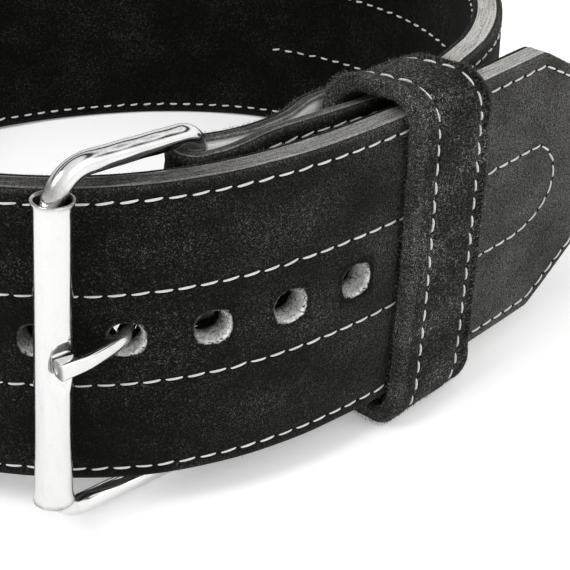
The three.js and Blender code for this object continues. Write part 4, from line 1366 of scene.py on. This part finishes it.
@dataclass
class Keeper:
    """The wide suede loop, folded at its right edge and sewn in two rows."""

    plan: Plan
    ground: Callable[[Array], Array]
    thickness: float = 6.2
    arch: float = 5.8
    skew: float = 5.0
    slant: float = 0.17
    sag: float = 3.9
    left: float = -18.7
    right: float = 17.8
    rows: tuple[float, float] = (-9.3, 11.6)
    rim: float = 2.2
    channel: float = 0.55
    channel_width: float = 1.1
    crease: float = 1.1
    crease_at: float = 2.2
    spacing: float = 1.6
    thread: Thread = field(default_factory=lambda: Thread(pitch=6.4, gap=1.6, radius=0.46))

    def loop(self, corner_steps: int = 14) -> Array:
        """Middle line of the band: distance in from the tongue line, height and bearing.

        Four quarter ellipses joined by straight runs.

        Returns:
            Rows of inwards, height and the bearing of the outward normal.
        """
        half = self.thickness / 2
        outer = -(THICKNESS / 2 + self.plan.keeper_ease + half)
        inner = self.plan.keeper_inwards
        top = BELT_WIDTH + self.arch + half
        bottom = self.level() + CLEAR + half
        corners = [(inner, bottom, 10, 12, -90, -1, 1), (inner, top, 10, 12, 0, -1, -1),
                   (outer, top, 9, 10, 90, 1, -1), (outer, bottom, 9, 13, 180, 1, 1)]
        rows = []
        for x, z, rx, rz, start, sx, sz in corners:
            angle = np.radians(start + np.linspace(0, 90, corner_steps + 1))
            rows.append(np.stack([
                x + sx * rx + rx * np.cos(angle), z + sz * rz + rz * np.sin(angle),
                np.arctan2(rx * np.sin(angle), rz * np.cos(angle))], -1))
        return join_arcs(rows, lambda run: max(2, int(run / self.spacing)))

    def level(self) -> float:
        """Height of the ground under the keeper's middle."""
        at = self.plan.beside(np.array([self.plan.keeper_at]), self.plan.keeper_inwards / 2)
        return float(self.ground(at[:, 1])[0])

    def spot(self, loop: Array, along: Array, out: Array) -> Array:
        """Points on or off the band.

        The band skews as it hangs on the outer side, slants across to the inner side and
        follows the ground's slope at its foot. Its top comes to sag from a height of 88 mm to
        106 mm, and away from the left rim.

        Args:
            loop: rows of inwards, height and bearing, one for each point.
            along: distance from the band's middle towards the tip (mm).
            out: distance outwards from the middle line (mm).

        Returns:
            Points (mm).
        """
        base = self.plan.beside(np.array([self.plan.keeper_at]), 0.0)[0]
        heading = float(self.plan.heading(self.plan.keeper_at))
        outer = -(THICKNESS / 2 + self.plan.keeper_ease + self.thickness / 2)
        across = self.plan.keeper_inwards - outer
        hang = np.clip(1 - loop[..., 1] / BELT_WIDTH, 0, 1)
        within = (loop[..., 0] - outer) / across
        shift = -self.skew * hang ** 2 * (1 - within) - self.slant * across * within
        run = shift + along
        inwards = loop[..., 0] + out * np.cos(loop[..., 2])
        x = base[0] + run * math.cos(heading) - inwards * math.sin(heading)
        y = base[1] + run * math.sin(heading) + inwards * math.cos(heading)
        settled = hang * (self.ground(y) - self.level())
        top = smooth((loop[..., 1] - 88.0) / 18.0)
        sag = self.sag * (1 - np.exp(-np.maximum(along - self.left, 0.0) / 9.0))
        z = loop[..., 1] + settled - top * sag + out * np.sin(loop[..., 2])
        return np.stack([x, y, z], -1)

    def build(self, where: Placement, suede: bpy.types.Material,
              thread: bpy.types.Material) -> None:
        """Makes the band and its stitches."""
        loop = self.loop()
        half, left, right = self.thickness / 2, self.left, self.right
        flat = np.unique(np.round(np.concatenate([
            np.linspace(left + self.rim, right - self.rim, 25),
            *(row + np.array([-2.4, -1.2, -0.5, 0, 0.5, 1.2, 1.7, 2.2, 2.7, 3.4])
              for row in self.rows)]),
            3))
        arc = np.linspace(0, math.pi, 11)[1:-1]
        along = np.concatenate([flat, right - self.rim + self.rim * np.sin(arc), flat[::-1],
                                left + self.rim - self.rim * np.sin(arc)])
        out = np.concatenate([0 * flat + half, half * np.cos(arc), 0 * flat - half,
                              -half * np.cos(arc)])
        rows, columns = len(loop), len(along)
        run = np.concatenate([[0.0], np.cumsum(np.linalg.norm(np.diff(loop[:, :2], axis=0),
                                                              axis=1))])
        rr = np.repeat(run[:, None], columns, 1)
        aa = np.repeat(along[None, :], rows, 0)
        oo = np.repeat(out[None, :], rows, 0)
        face = np.sign(oo) * (np.abs(oo) > half * 0.6)
        dip = sum(self.channel * np.exp(-((aa - row) / self.channel_width) ** 2)
                  for row in self.rows)
        fold = self.crease * np.exp(-((aa - self.rows[1] - self.crease_at) / 0.6) ** 2)
        seam = 0.45 * np.exp(-(oo / 0.5) ** 2) * (np.abs(oo) < half * 0.6)
        wave = 0.28 * ripple(rr, aa, 0.55, 2.0) + 0.10 * ripple(rr, aa, 0.16, 5.0)
        oo = oo - face * (dip + fold - wave)
        edge = 0.45 * ripple(rr, 4 * np.sign(aa), 0.35, 1.0) - seam
        rim = (aa > right - self.rim - 0.1) | (aa < left + self.rim + 0.1)
        aa = aa + np.sign(aa) * edge * rim
        hang = np.clip(1 - loop[:, 1] / BELT_WIDTH, 0, 1)[:, None]
        aa = aa + 2.0 * hang * smooth((aa - self.rows[1]) / 3)
        spread = np.repeat(loop[:, None], columns, 1)
        points = self.spot(spread, aa, oo).reshape(-1, 3)
        wear_plus_light = 0.34 * rim + 0.12 * np.clip(-wave, 0, 1)
        uv = np.stack([rr, aa + oo], -1).reshape(-1, 2) / 1000
        band = Surface(points, [ring_faces(rows, columns, True, True)], [], uv,
                       {"wear_plus_light": wear_plus_light.ravel(), "bare_and_lit": 0 * wear_plus_light.ravel()})
        made = band.build("keeper_band", where, suede)
        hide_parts("keeper")
        self._stitches(loop, run, where, thread)

    def _stitches(self, loop: Array, run: Array, where: Placement,
                  material: bpy.types.Material) -> None:
        """Two rows of stitches round the loop's outside."""
        starts, ends, normals = [], [], []
        total = run[-1] + self.spacing
        closed = np.concatenate([loop, loop[:1] + [[0, 0, 2 * math.pi]]])
        unwrapped = closed.copy()
        unwrapped[:, 2] = np.unwrap(closed[:, 2])
        places = np.concatenate([run, [total]])
        count = int(total // self.thread.pitch)
        begin = np.arange(count) * total / count
        length = total / count - self.thread.gap
        for row in self.rows:
            spots = [np.stack([np.interp(q, places, unwrapped[:, k]) for k in range(3)], -1)
                     for q in (begin, begin + length, begin + length / 2)]
            lie = [self.spot(q, np.full(count, row), np.full(count, self.thickness / 2 - 0.5))
                   for q in spots]
            off = self.spot(spots[2], np.full(count, row), np.full(count, 9.0))
            starts.append(lie[0])
            ends.append(lie[1])
            normals.append(unit(off - lie[2]))
        made = self.thread.surface(np.concatenate(starts), np.concatenate(ends),
                                   np.concatenate(normals), 23)
        made.build("keeper_stitches", where, material)


# ---- The buckle ----------------------------------------------------------------------------


@dataclass
class Buckle:
    """The bent rod frame, its roller and its prong."""

    route: Route
    height: float = 116.0
    drop: float = 0.8
    bend: float = 7.2
    play: float = 1.25
    wall: float = 1.0
    flare: float = 0.95
    rim: float = 0.6
    front_bend: float = 12.5
    flare_length: float = 5.0
    roller_length: float = 100.8
    dent_height: float = 9.0
    dent_turn: float = math.radians(40.0)
    prong: float = 5.6
    shank: float = 4.8
    tip_height: float = 5.8
    tip_depth: float = 5.0
    tip_length: float = 2.6
    eye_wall: float = 2.2
    eye_height: float = 8.0

    def __post_init__(self) -> None:
        """Finds the bar, the roller and the frame's own axes."""
        plan = self.route.plan
        self.radius = ROD / 2 + self.play + self.wall
        self.mouth = self.radius + self.flare
        self.pressed = 2 * (self.play - CLEAR)
        lean_to = float(plan.heading(BAR_AT))
        self.up = np.array([math.sin(LEAN) * math.cos(lean_to),
                            math.sin(LEAN) * math.sin(lean_to), math.cos(LEAN)])
        slew = abs(math.sin(lean_to - float(plan.heading(ROLLER_AT))))
        drift = self.roller_length / 2 * math.sin(LEAN) * slew
        out = THICKNESS / 2 + CLEAR + self.mouth + drift
        roller = np.append(plan.beside(np.array([ROLLER_AT]), -out)[0], 0.0)
        bar = np.append(plan.beside(np.array([BAR_AT]), self.route.bar_inwards)[0], 0.0)
        self.dent = float(plan.heading(ROLLER_AT)) - math.pi / 2 + self.dent_turn
        face = np.array([math.cos(self.dent), math.sin(self.dent), 0.0])
        front = roller - (self.play - CLEAR) * face
        level = unit(bar - front)
        self.forth = unit(level - self.up * float(level @ self.up))
        self.side = np.cross(self.up, self.forth)
        self.reach = float(np.linalg.norm(bar - front)) / math.hypot(*self.forth[:2])
        self.centre = (front + bar) / 2
        self.centre[2] = MIDDLE - self.drop
        self.bar_foot = bar + [0, 0, self.on(self.reach / 2, 0)[2]]
        self.roller_foot = roller + [0, 0, self.on(-self.reach / 2, 0)[2]]

    def on(self, forth: float | Array, up: float | Array) -> Array:
        """Points of the buckle's plane by their distances forth and up from its middle."""
        return self.centre + np.multiply.outer(forth, self.forth) + np.multiply.outer(
            up, self.up)

    def up_along(self, foot: Array, height: float) -> Array:
        """The point at a height on the line through a foot along the buckle's up axis."""
        return foot + self.up * (height - foot[2]) / self.up[2]

    def lowest_corner(self) -> Array:
        """Centre of the frame's lower corner at the bar."""
        return self.on(self.reach / 2, -self.height / 2)

    def frame_surface(self, sides: int = 28, steps: int = 59) -> Surface:
        """The frame: a circle carried round a rounded rectangle.

        The circle's own axes are the outward direction in the frame's plane and the normal
        of that plane.
        """
        across, tall = self.reach / 2, self.height / 2
        path = []
        for sx, sz, start, r in ((1, -1, -90, self.bend), (1, 1, 0, self.bend),
                                 (-1, 1, 90, self.front_bend),
                                 (-1, -1, 180, self.front_bend)):
            angle = np.radians(start + np.linspace(0, 90, 21))
            path.append(np.stack([sx * (across - r) + r * np.cos(angle),
                                  sz * (tall - r) + r * np.sin(angle), angle], -1))
        line = join_arcs(path, lambda run: steps)
        middle = self.on(line[:, 0], line[:, 1])
        outward = (np.cos(line[:, 2])[:, None] * self.forth
                   + np.sin(line[:, 2])[:, None] * self.up)
        turn = 2 * math.pi * np.arange(sides) / sides
        rod = ROD / 2 * (1 + 0.012 * np.sin(5.1 * line[:, 0] / 9 + line[:, 1] / 7))
        points = (middle[:, None] + rod[:, None, None] * (
            outward[:, None] * np.cos(turn)[None, :, None]
            + self.side * np.sin(turn)[None, :, None]))
        near = np.abs(line[:, 1]) - self.roller_length / 2 - 1.4
        stain = 1.1 * np.exp(-(near / 1.5) ** 2) * (line[:, 0] < -across + 5)
        return tube(points, stain)

    def roller_surface(self, sides: int = 96) -> Surface:
        """The roller: a thin wall turned about its axis, then pressed flat.

        Its radius grows as a square towards each mouth. A point beyond the flat's plane is
        brought back to it; the plane comes in as one minus the square of the height from
        the prong.
        """
        half = self.roller_length / 2
        z = np.unique(np.concatenate([np.linspace(-half, -half + self.flare_length, 9),
                                      np.linspace(-half + self.flare_length,
                                                  half - self.flare_length, 60),
                                      np.linspace(half - self.flare_length, half, 9)]))
        mouth = np.clip((np.abs(z) - half + self.flare_length) / self.flare_length, 0, 1)
        outer = self.radius + self.rim * mouth ** 2
        lip = np.array([0.25, 0.5, 0.75])
        radius = np.concatenate([outer, outer[-1] - lip * self.wall,
                                 outer[::-1] - self.wall, outer[0] - lip[::-1] * self.wall])
        height = np.concatenate([z, half + 0.28 * np.sin(lip * math.pi), z[::-1],
                                 -half - 0.28 * np.sin(lip * math.pi)])
        turn = 2 * math.pi * np.arange(sides) / sides
        level = (HOLE_HEIGHT - self.roller_foot[2]) / self.up[2]
        flat = self.pressed * np.clip(1 - ((height - level) / self.dent_height) ** 2, 0, 1)
        x = np.minimum(radius[:, None] * np.cos(turn), (radius - flat)[:, None])
        y = radius[:, None] * np.sin(turn) + 0 * x
        bow = 0.05 * np.sin(height / 13.0)[:, None] * np.cos(2 * turn)[None, :]
        x, y = x + bow * np.cos(turn), y + bow * np.sin(turn)
        east = x * math.cos(self.dent) - y * math.sin(self.dent)
        north = x * math.sin(self.dent) + y * math.cos(self.dent)
        axis = np.cross([0.0, 0.0, 1.0], self.up)
        a, b = self._basis(axis)
        points = (self.roller_foot + east[..., None] * a + north[..., None] * b
                  + height[:, None, None] * self.up)
        stain = 0.65 * np.exp(-((np.abs(height) - half) / 0.9) ** 2) * (np.abs(height) > half
                                                                      - 2)
        return tube(points, stain)

    def _basis(self, axis: Array) -> tuple[Array, Array]:
        """The X and Y axes after the least turn that brings Z to the buckle's up axis."""
        angle = math.acos(float(self.up[2]))
        turn = np.array(Matrix.Rotation(angle, 3, Vector(unit(axis))))
        return turn[:, 0], turn[:, 1]

    def _beside(self, place: float, inwards: float) -> Array:
        """A point at the holes' height, beside the tongue line."""
        return np.append(self.route.plan.beside(np.array([place]), inwards)[0], HOLE_HEIGHT)

    def prong_points(self) -> Array:
        """Chosen points of the prong: its eye, its way through the hole, and its seat."""
        plan = self.route.plan
        bar = self.up_along(self.bar_foot, HOLE_HEIGHT)
        axis = self.up_along(self.roller_foot, HOLE_HEIGHT)
        face = np.array([math.cos(self.dent), math.sin(self.dent), 0])
        onward = np.array([math.sin(self.dent), -math.cos(self.dent), 0])
        seat = axis + (self.radius - self.pressed + CLEAR + self.tip_depth / 2) * face
        half = THICKNESS / 2
        eye = ROD / 2 + CLEAR + self.eye_wall / 2
        back = float(plan.heading(BAR_AT)) + math.pi
        toward = np.array([math.cos(back), math.sin(back), 0])
        inner = half + (self.route.bar_inwards - half) * 0.6
        return np.array([
            bar + eye * toward, bar + 2 * eye * toward, self._beside(self.prong, inner),
            self._beside(HOLE_RADIUS / 3, half), self._beside(0.0, 0.0),
            self._beside(-HOLE_RADIUS / 3, -half),
            seat - 1.5 * self.prong * onward, seat, seat + self.tip_length * onward])

    def prong_surface(self, sides: int = 32, steps: int = 90) -> Surface:
        """The prong's shank: a rounded section carried along a smooth curve.

        The curve goes through the chosen points as a Catmull-Rom spline. The section is a
        superellipse that squares up and flattens towards the tip.
        """
        spots = self.prong_points()
        ends = np.concatenate([[2 * spots[0] - spots[1]], spots, [2 * spots[-1] - spots[-2]]])
        share = np.linspace(0, len(spots) - 1, steps)
        n = np.minimum(share.astype(int), len(spots) - 2)
        t = (share - n)[:, None]
        p0, p1, p2, p3 = (ends[n + k] for k in range(4))
        line = 0.5 * (2 * p1 + (p2 - p0) * t + (2 * p0 - 5 * p1 + 4 * p2 - p3) * t ** 2
                      + (3 * p1 - p0 - 3 * p2 + p3) * t ** 3)
        ahead = unit(np.gradient(line, axis=0))
        across = np.stack([-ahead[:, 1], ahead[:, 0], 0 * ahead[:, 0]], -1)
        flat = smooth((share / share[-1] - 0.54) / 0.42)
        end = np.clip((share[-1] - share) / 0.16, 0, 1) ** 0.5
        wide = (self.shank + (self.tip_depth - self.shank) * flat) / 2 * (0.74 + 0.26 * end)
        tall = (self.shank + (self.tip_height - self.shank) * flat) / 2 * (0.82 + 0.18 * end)
        power = 1 - 0.72 * flat
        crown = 1 - 0.45 * flat
        turn = 2 * math.pi * np.arange(sides) / sides
        c, s = np.cos(turn), np.sin(turn)
        cx = np.sign(c) * np.abs(c) ** power[:, None] * wide[:, None]
        cz = np.sign(s) * np.abs(s) ** crown[:, None] * tall[:, None]
        points = line[:, None] + across[:, None] * cx[..., None]
        points[..., 2] += cz
        stain = 0.7 * np.exp(-((share[-1] - share) / 0.22) ** 2)
        return tube(points, stain, closed=False)

    def eye_surface(self, sides: int = 48) -> Surface:
        """The prong's eye: a rounded band turned about the bar."""
        inner = ROD / 2 + CLEAR
        turn = 2 * math.pi * np.arange(sides) / sides
        lap = np.linspace(0, 2 * math.pi, 25)[:-1]
        sx, sz = np.cos(lap), np.sin(lap)
        half = self.eye_wall / 2
        radial = inner + half + half * np.sign(sx) * np.abs(sx) ** 0.6
        tall = self.eye_height / 2 * np.sign(sz) * np.abs(sz) ** 0.5
        a, b = self._basis(np.cross([0.0, 0.0, 1.0], self.up))
        bar = self.up_along(self.bar_foot, HOLE_HEIGHT)
        ring = np.cos(turn)[:, None] * a + np.sin(turn)[:, None] * b
        points = (bar + ring[:, None] * radial[None, :, None]
                  + tall[None, :, None] * self.up)
        return tube(points, np.zeros(sides))

    def build(self, where: Placement, plated: bpy.types.Material) -> None:
        """Makes the four pieces of the buckle."""
        pieces = [("buckle_rod", self.frame_surface(), "buckle_frame"),
                  ("roller_tube", self.roller_surface(), "roller"),
                  ("prong_shank", self.prong_surface(), "prong"),
                  ("prong_eye", self.eye_surface(), "")]
        for name, surface, node in pieces:
            made = surface.build(name, where, plated)
            if node:
                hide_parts(node)


# ---- Loose fibres --------------------------------------------------------------------------


@dataclass
class Nap:
    """Loose fibres on the edges of the suede and in the holes."""

    route: Route
    keeper: Keeper
    on_strap: int = 18000
    on_keeper: int = 38000
    in_hole: int = 900
    width: float = 0.10
    hole_width: float = 0.13

    def blades(self, roots: Array, ways: Array, length: Array, width: float, tone: Array,
               seed: int) -> Surface:
        """Fibres as thin bent blades.

        Each blade has a root edge, a middle edge pushed sideways and a point.

        Args:
            roots: where they grow (mm).
            ways: where they point.
            length: how long they are (mm).
            width: width at the root (mm).
            tone: shade of each, 0 to 1.
            seed: seed of the bends.

        Returns:
            All the blades as one surface.
        """
        dice = np.random.default_rng(seed)
        count = len(roots)
        ways = unit(ways)
        aside = unit(np.cross(ways, dice.normal(size=(count, 3))))
        bend = np.cross(ways, aside) * dice.normal(0, 0.35, (count, 1))
        long = length[:, None]
        half = aside * width / 2
        mid = roots + (ways + 0.4 * bend) * long * 0.5
        tip = roots + (ways + bend) * long
        points = np.stack([roots - half, roots + half, mid + 0.7 * half, mid - 0.7 * half,
                           tip], 1)
        above = (points[..., 2] > self.keeper.ground(points[..., 1]) + 0.05).all(1)
        points, tone, count = points[above].reshape(-1, 3), tone[above], int(above.sum())
        start = 5 * np.arange(count)[:, None]
        return Surface(points, [start + np.array([[0, 1, 2, 3]]),
                                start + np.array([[3, 2, 4]])], [], None,
                       {"wear_plus_light": np.repeat(tone, 5)})

    def build(self, where: Placement) -> None:
        """Makes the fibres of the strap's edges, of the keeper and of the holes."""
        dark = FibreFinish("dark_fibres", (0.01, 0.01, 0.01, 1), (0.26, 0.255, 0.235, 1))
        pale = FibreFinish("pale_fibres", (0.55, 0.54, 0.53, 1), (0.96, 0.96, 0.94, 1))
        dice = np.random.default_rng(41)
        count = self.on_strap
        p = dice.uniform(0, self.route.p[-1], count)
        upper = dice.random(count) < 0.8
        depth = dice.choice([0.35, 1.0, 2.1, THICKNESS - 1.4, THICKNESS - 0.5], count)
        inner_gone = (p > self.route.p[self.route.suede_end]) & (depth > 5)
        depth = np.where(inner_gone, 1.2, depth)
        z = np.where(upper, BELT_WIDTH - 0.25, 0.25)
        roots = self.route.spot(p, self.route.squeeze(p, z), depth)
        ways = self.route.outward(p) * dice.normal(0.15, 0.5, (count, 1))
        ways = ways + dice.normal(0, 0.35, (count, 3))
        ways[:, 2] += np.where(upper, 0.9, -0.9)
        long = dice.gamma(3.0, 0.2, count)
        edges = self.blades(roots, ways, long, self.width, dice.random(count) ** 1.5, 43)
        loop = self.keeper.loop()
        count = self.on_keeper
        pick = loop[dice.integers(0, len(loop), count)]
        band = dice.random(count) < 0.45
        half, left, right = self.keeper.thickness / 2, self.keeper.left, self.keeper.right
        rims = np.where(dice.random(count) < 0.6, left + 0.3, right - 0.3)
        along = np.where(band, rims, dice.uniform(left, right, count))
        out = np.where(band, dice.uniform(-half, half, count), half - 0.15)
        roots = self.keeper.spot(pick, along, out)
        off = self.keeper.spot(pick, along * 1.3, out + 6.0)
        ways = unit(off - roots) + dice.normal(0, 0.55, (count, 3))
        loose = self.blades(roots, ways, dice.gamma(3.0, 0.21, count), self.width,
                            dice.random(count) ** 1.5, 47)
        material = dark.make()
        for name, made in (("strap_fibres", edges), ("keeper_fibres", loose)):
            made.build(name, where, material)
        self._in_holes(where, pale.make(), dice)

    def _in_holes(self, where: Placement, material: bpy.types.Material,
                  dice: np.random.Generator) -> None:
        """Pale fibres at the holes' walls, mostly low and towards the tip."""
        holes = np.repeat(np.array(HOLES), self.in_hole)
        count = len(holes)
        angle = dice.normal(-0.75, 0.75, count)
        reach = HOLE_RADIUS + dice.normal(0.0, 0.12, count)
        s = holes + reach * np.cos(angle)
        z = HOLE_HEIGHT + reach * np.sin(angle)
        depth = dice.uniform(0.6, 4.6, count)
        p = TONGUE_LENGTH - s
        roots = self.route.spot(p, z, depth)
        centre = self.route.spot(TONGUE_LENGTH - holes, HOLE_HEIGHT + 0 * z, depth - 1.6)
        ways = unit(centre - roots) + dice.normal(0, 0.6, (count, 3))
        made = self.blades(roots, ways, dice.gamma(3.0, 0.25, count), self.hole_width,
                           dice.random(count), 53)
        made.build("hole_fibres", where, material)


# ---- The studio ----------------------------------------------------------------------------


@dataclass
class Studio:
    """Floor, lights and camera."""

    where: Placement
    focal: float = 1419.5
    picture: float = 570.0
    sensor: float = 36.0
    pitch: float = math.radians(30.62)
    eye: tuple[float, float, float] = (47.33, -355.41, 276.8)

    def camera(self) -> None:
        """Sets the camera where the photograph was taken from."""
        data = bpy.data.cameras.new("camera")
        data.sensor_width = self.sensor
        data.lens = self.sensor * self.focal / self.picture
        data.clip_start = 0.01
        thing = put("camera", data)
        look = Matrix.Rotation(math.pi / 2 - self.pitch, 3, "X")
        turn = Matrix(self.where.turn.tolist()) @ look
        spot = self.where.apply(np.array([self.eye]))[0]
        thing.matrix_world = Matrix.Translation(Vector(spot)) @ turn.to_4x4()
        bpy.context.scene.camera = thing

    def floor(self) -> None:
        """A wide pale floor."""
        g = Graph("pale_floor")
        cloud = g.noise(3.0, 2.0, 0.5)
        colour = g.blend(cloud * 0.5, (0.93, 0.93, 0.93, 1), (0.90, 0.90, 0.90, 1))
        material = g.finish({"Base Color": colour, "Roughness": 0.6,
                             "Specular IOR Level": 0.2, "Emission Color": (1, 1, 1, 1),
                             "Emission Strength": 0.2})
        mesh = bpy.data.meshes.new("floor")
        reach = 6.0
        mesh.from_pydata([(-reach, -reach, 0), (reach, -reach, 0), (reach, reach, 0),
                          (-reach, reach, 0)], [], [(0, 1, 2, 3)])
        mesh.materials.append(material)
        put("floor", mesh)

    def lamp(self, name: str, spot: tuple[float, float, float],
             aim: tuple[float, float, float], size: float, power: float) -> None:
        """A square soft light that looks at a point."""
        data = bpy.data.lights.new(name, "AREA")
        data.size = size
        data.energy = power
        thing = put(name, data)
        way = Vector(aim) - Vector(spot)
        turn = way.to_track_quat("-Z", "Y").to_matrix().to_4x4()
        thing.matrix_world = Matrix.Translation(Vector(spot)) @ turn

    def build(self) -> None:
        """Makes the floor, lights, surroundings and camera."""
        self.floor()
        self.lamp("key", (-0.7, -0.6, 1.3), (0, -0.05, 0.05), 0.6, 11.0)
        self.lamp("fill", (1.1, -0.7, 0.9), (0, -0.05, 0.05), 0.9, 5.0)
        self.surroundings()
        self.camera()
        bpy.context.scene.view_settings.view_transform = "Standard"

    def surroundings(self) -> None:
        """White walls with two dark gaps high at the back, which the plating mirrors."""
        world = bpy.data.worlds.new("studio")
        world.use_nodes = True
        g = Nodes(world.node_tree)
        way = g.node("ShaderNodeTexCoord", out="Generated")
        x, y, z = (g.node("ShaderNodeSeparateXYZ", {}, {0: way}, out=axis) for axis in "XYZ")
        back = y.band(-0.1, 0.1)
        low = z.band(0.46, 0.50) * z.band(0.67, 0.63) * back
        high = z.band(0.74, 0.80) * z.band(0.93, 0.88) * back
        walls = g.blend(x.band(-0.7, 0.8), grey(0.72), grey(1.3))
        tone = g.blend(high, g.blend(low, walls, grey(0.02)), grey(0.03))
        background = g.tree.nodes["Background"]
        g.tree.links.new(tone.socket, background.inputs["Color"])
        background.inputs["Strength"].default_value = 1.0
        bpy.context.scene.world = world


def grey(level: float) -> tuple[float, float, float, float]:
    """A colour without hue."""
    return level, level, level, 1.0


def resting_pose(route: Route, buckle: Buckle) -> tuple[Placement, Callable[[Array], Array]]:
    """The pose in which the belt stands, and the height of the ground under it.

    It rests on the frame's lower corner and on the back of its lower edge, so it is tipped
    by the slope between them. Its place is where the leather's CAD solid is.

    Args:
        route: the strap's route.
        buckle: the buckle.

    Returns:
        The placement, and a function from y to the ground's height in the belt's frame.
    """
    corner = buckle.lowest_corner()
    back = max(float(route.low[:, 1].max()), float(route.high[:, 1].max()))
    angle = math.atan2(ROD / 2 - corner[2], back - corner[1])
    pose = Placement(angle, np.zeros(3))
    outline = [route.spot(route.p, np.full_like(route.p, z), depth)
               for z in (0.0, BELT_WIDTH) for depth in (OUTER_SUEDE + CLEAR, route.core)]
    trimmed = route.p < TIP_TAPER + 10.0
    outline = [np.where(trimmed[:, None], points[~trimmed][:1], points) for points in outline]
    laid = np.concatenate([pose.apply(points) for points in outline]) * 1000
    low, high = (np.array(end) * 1000 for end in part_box("leather_core"))
    pose.shift = low - laid.min(0)
    LOG.info("rest %.3f degrees, shift %s, far side off by %s", math.degrees(angle),
             np.round(pose.shift, 3), np.round(high - laid.max(0) - pose.shift, 2))
    return pose, lambda y: -math.tan(angle) * (back - y)


def main() -> None:
    """Loads the frame and dresses the belt, piece by piece."""
    logging.basicConfig(level=logging.INFO, format="%(message)s")
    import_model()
    plan = Plan()
    route = Route(plan)
    buckle = Buckle(route)
    where, ground = resting_pose(route, buckle)
    suede = SuedeFinish("black_suede").make()
    # The lining's suede is darker than the outer suede, partly as painted shade on the belt's
    # inner wall.
    lining = SuedeFinish("lining_suede_shaded", dark=(0.0022, 0.0022, 0.0019, 1.0),
                         fleck=(0.060, 0.060, 0.052, 1.0)).make()
    rough = SuedeFinish("rough_suede", dark=(0.0045, 0.0046, 0.0038, 1.0),
                        fleck=(0.42, 0.415, 0.37, 1.0), grain=2500.0, coarse=0.08,
                        depth=0.0011, contrast=3.1).make()
    leather = EdgeFinish("cut_leather").make()
    plated = PlatedFinish("plated_steel").make()
    thread = ThreadFinish().make()
    strap = Strap(route)
    strap.build(where, suede, leather, lining)
    Seams(route, strap.relief).build(where, thread)
    keeper = Keeper(plan, ground)
    keeper.build(where, rough, thread)
    buckle.build(where, plated)
    Nap(route, keeper).build(where)
    Studio(where).build()


if __name__ == "__main__":
    main()
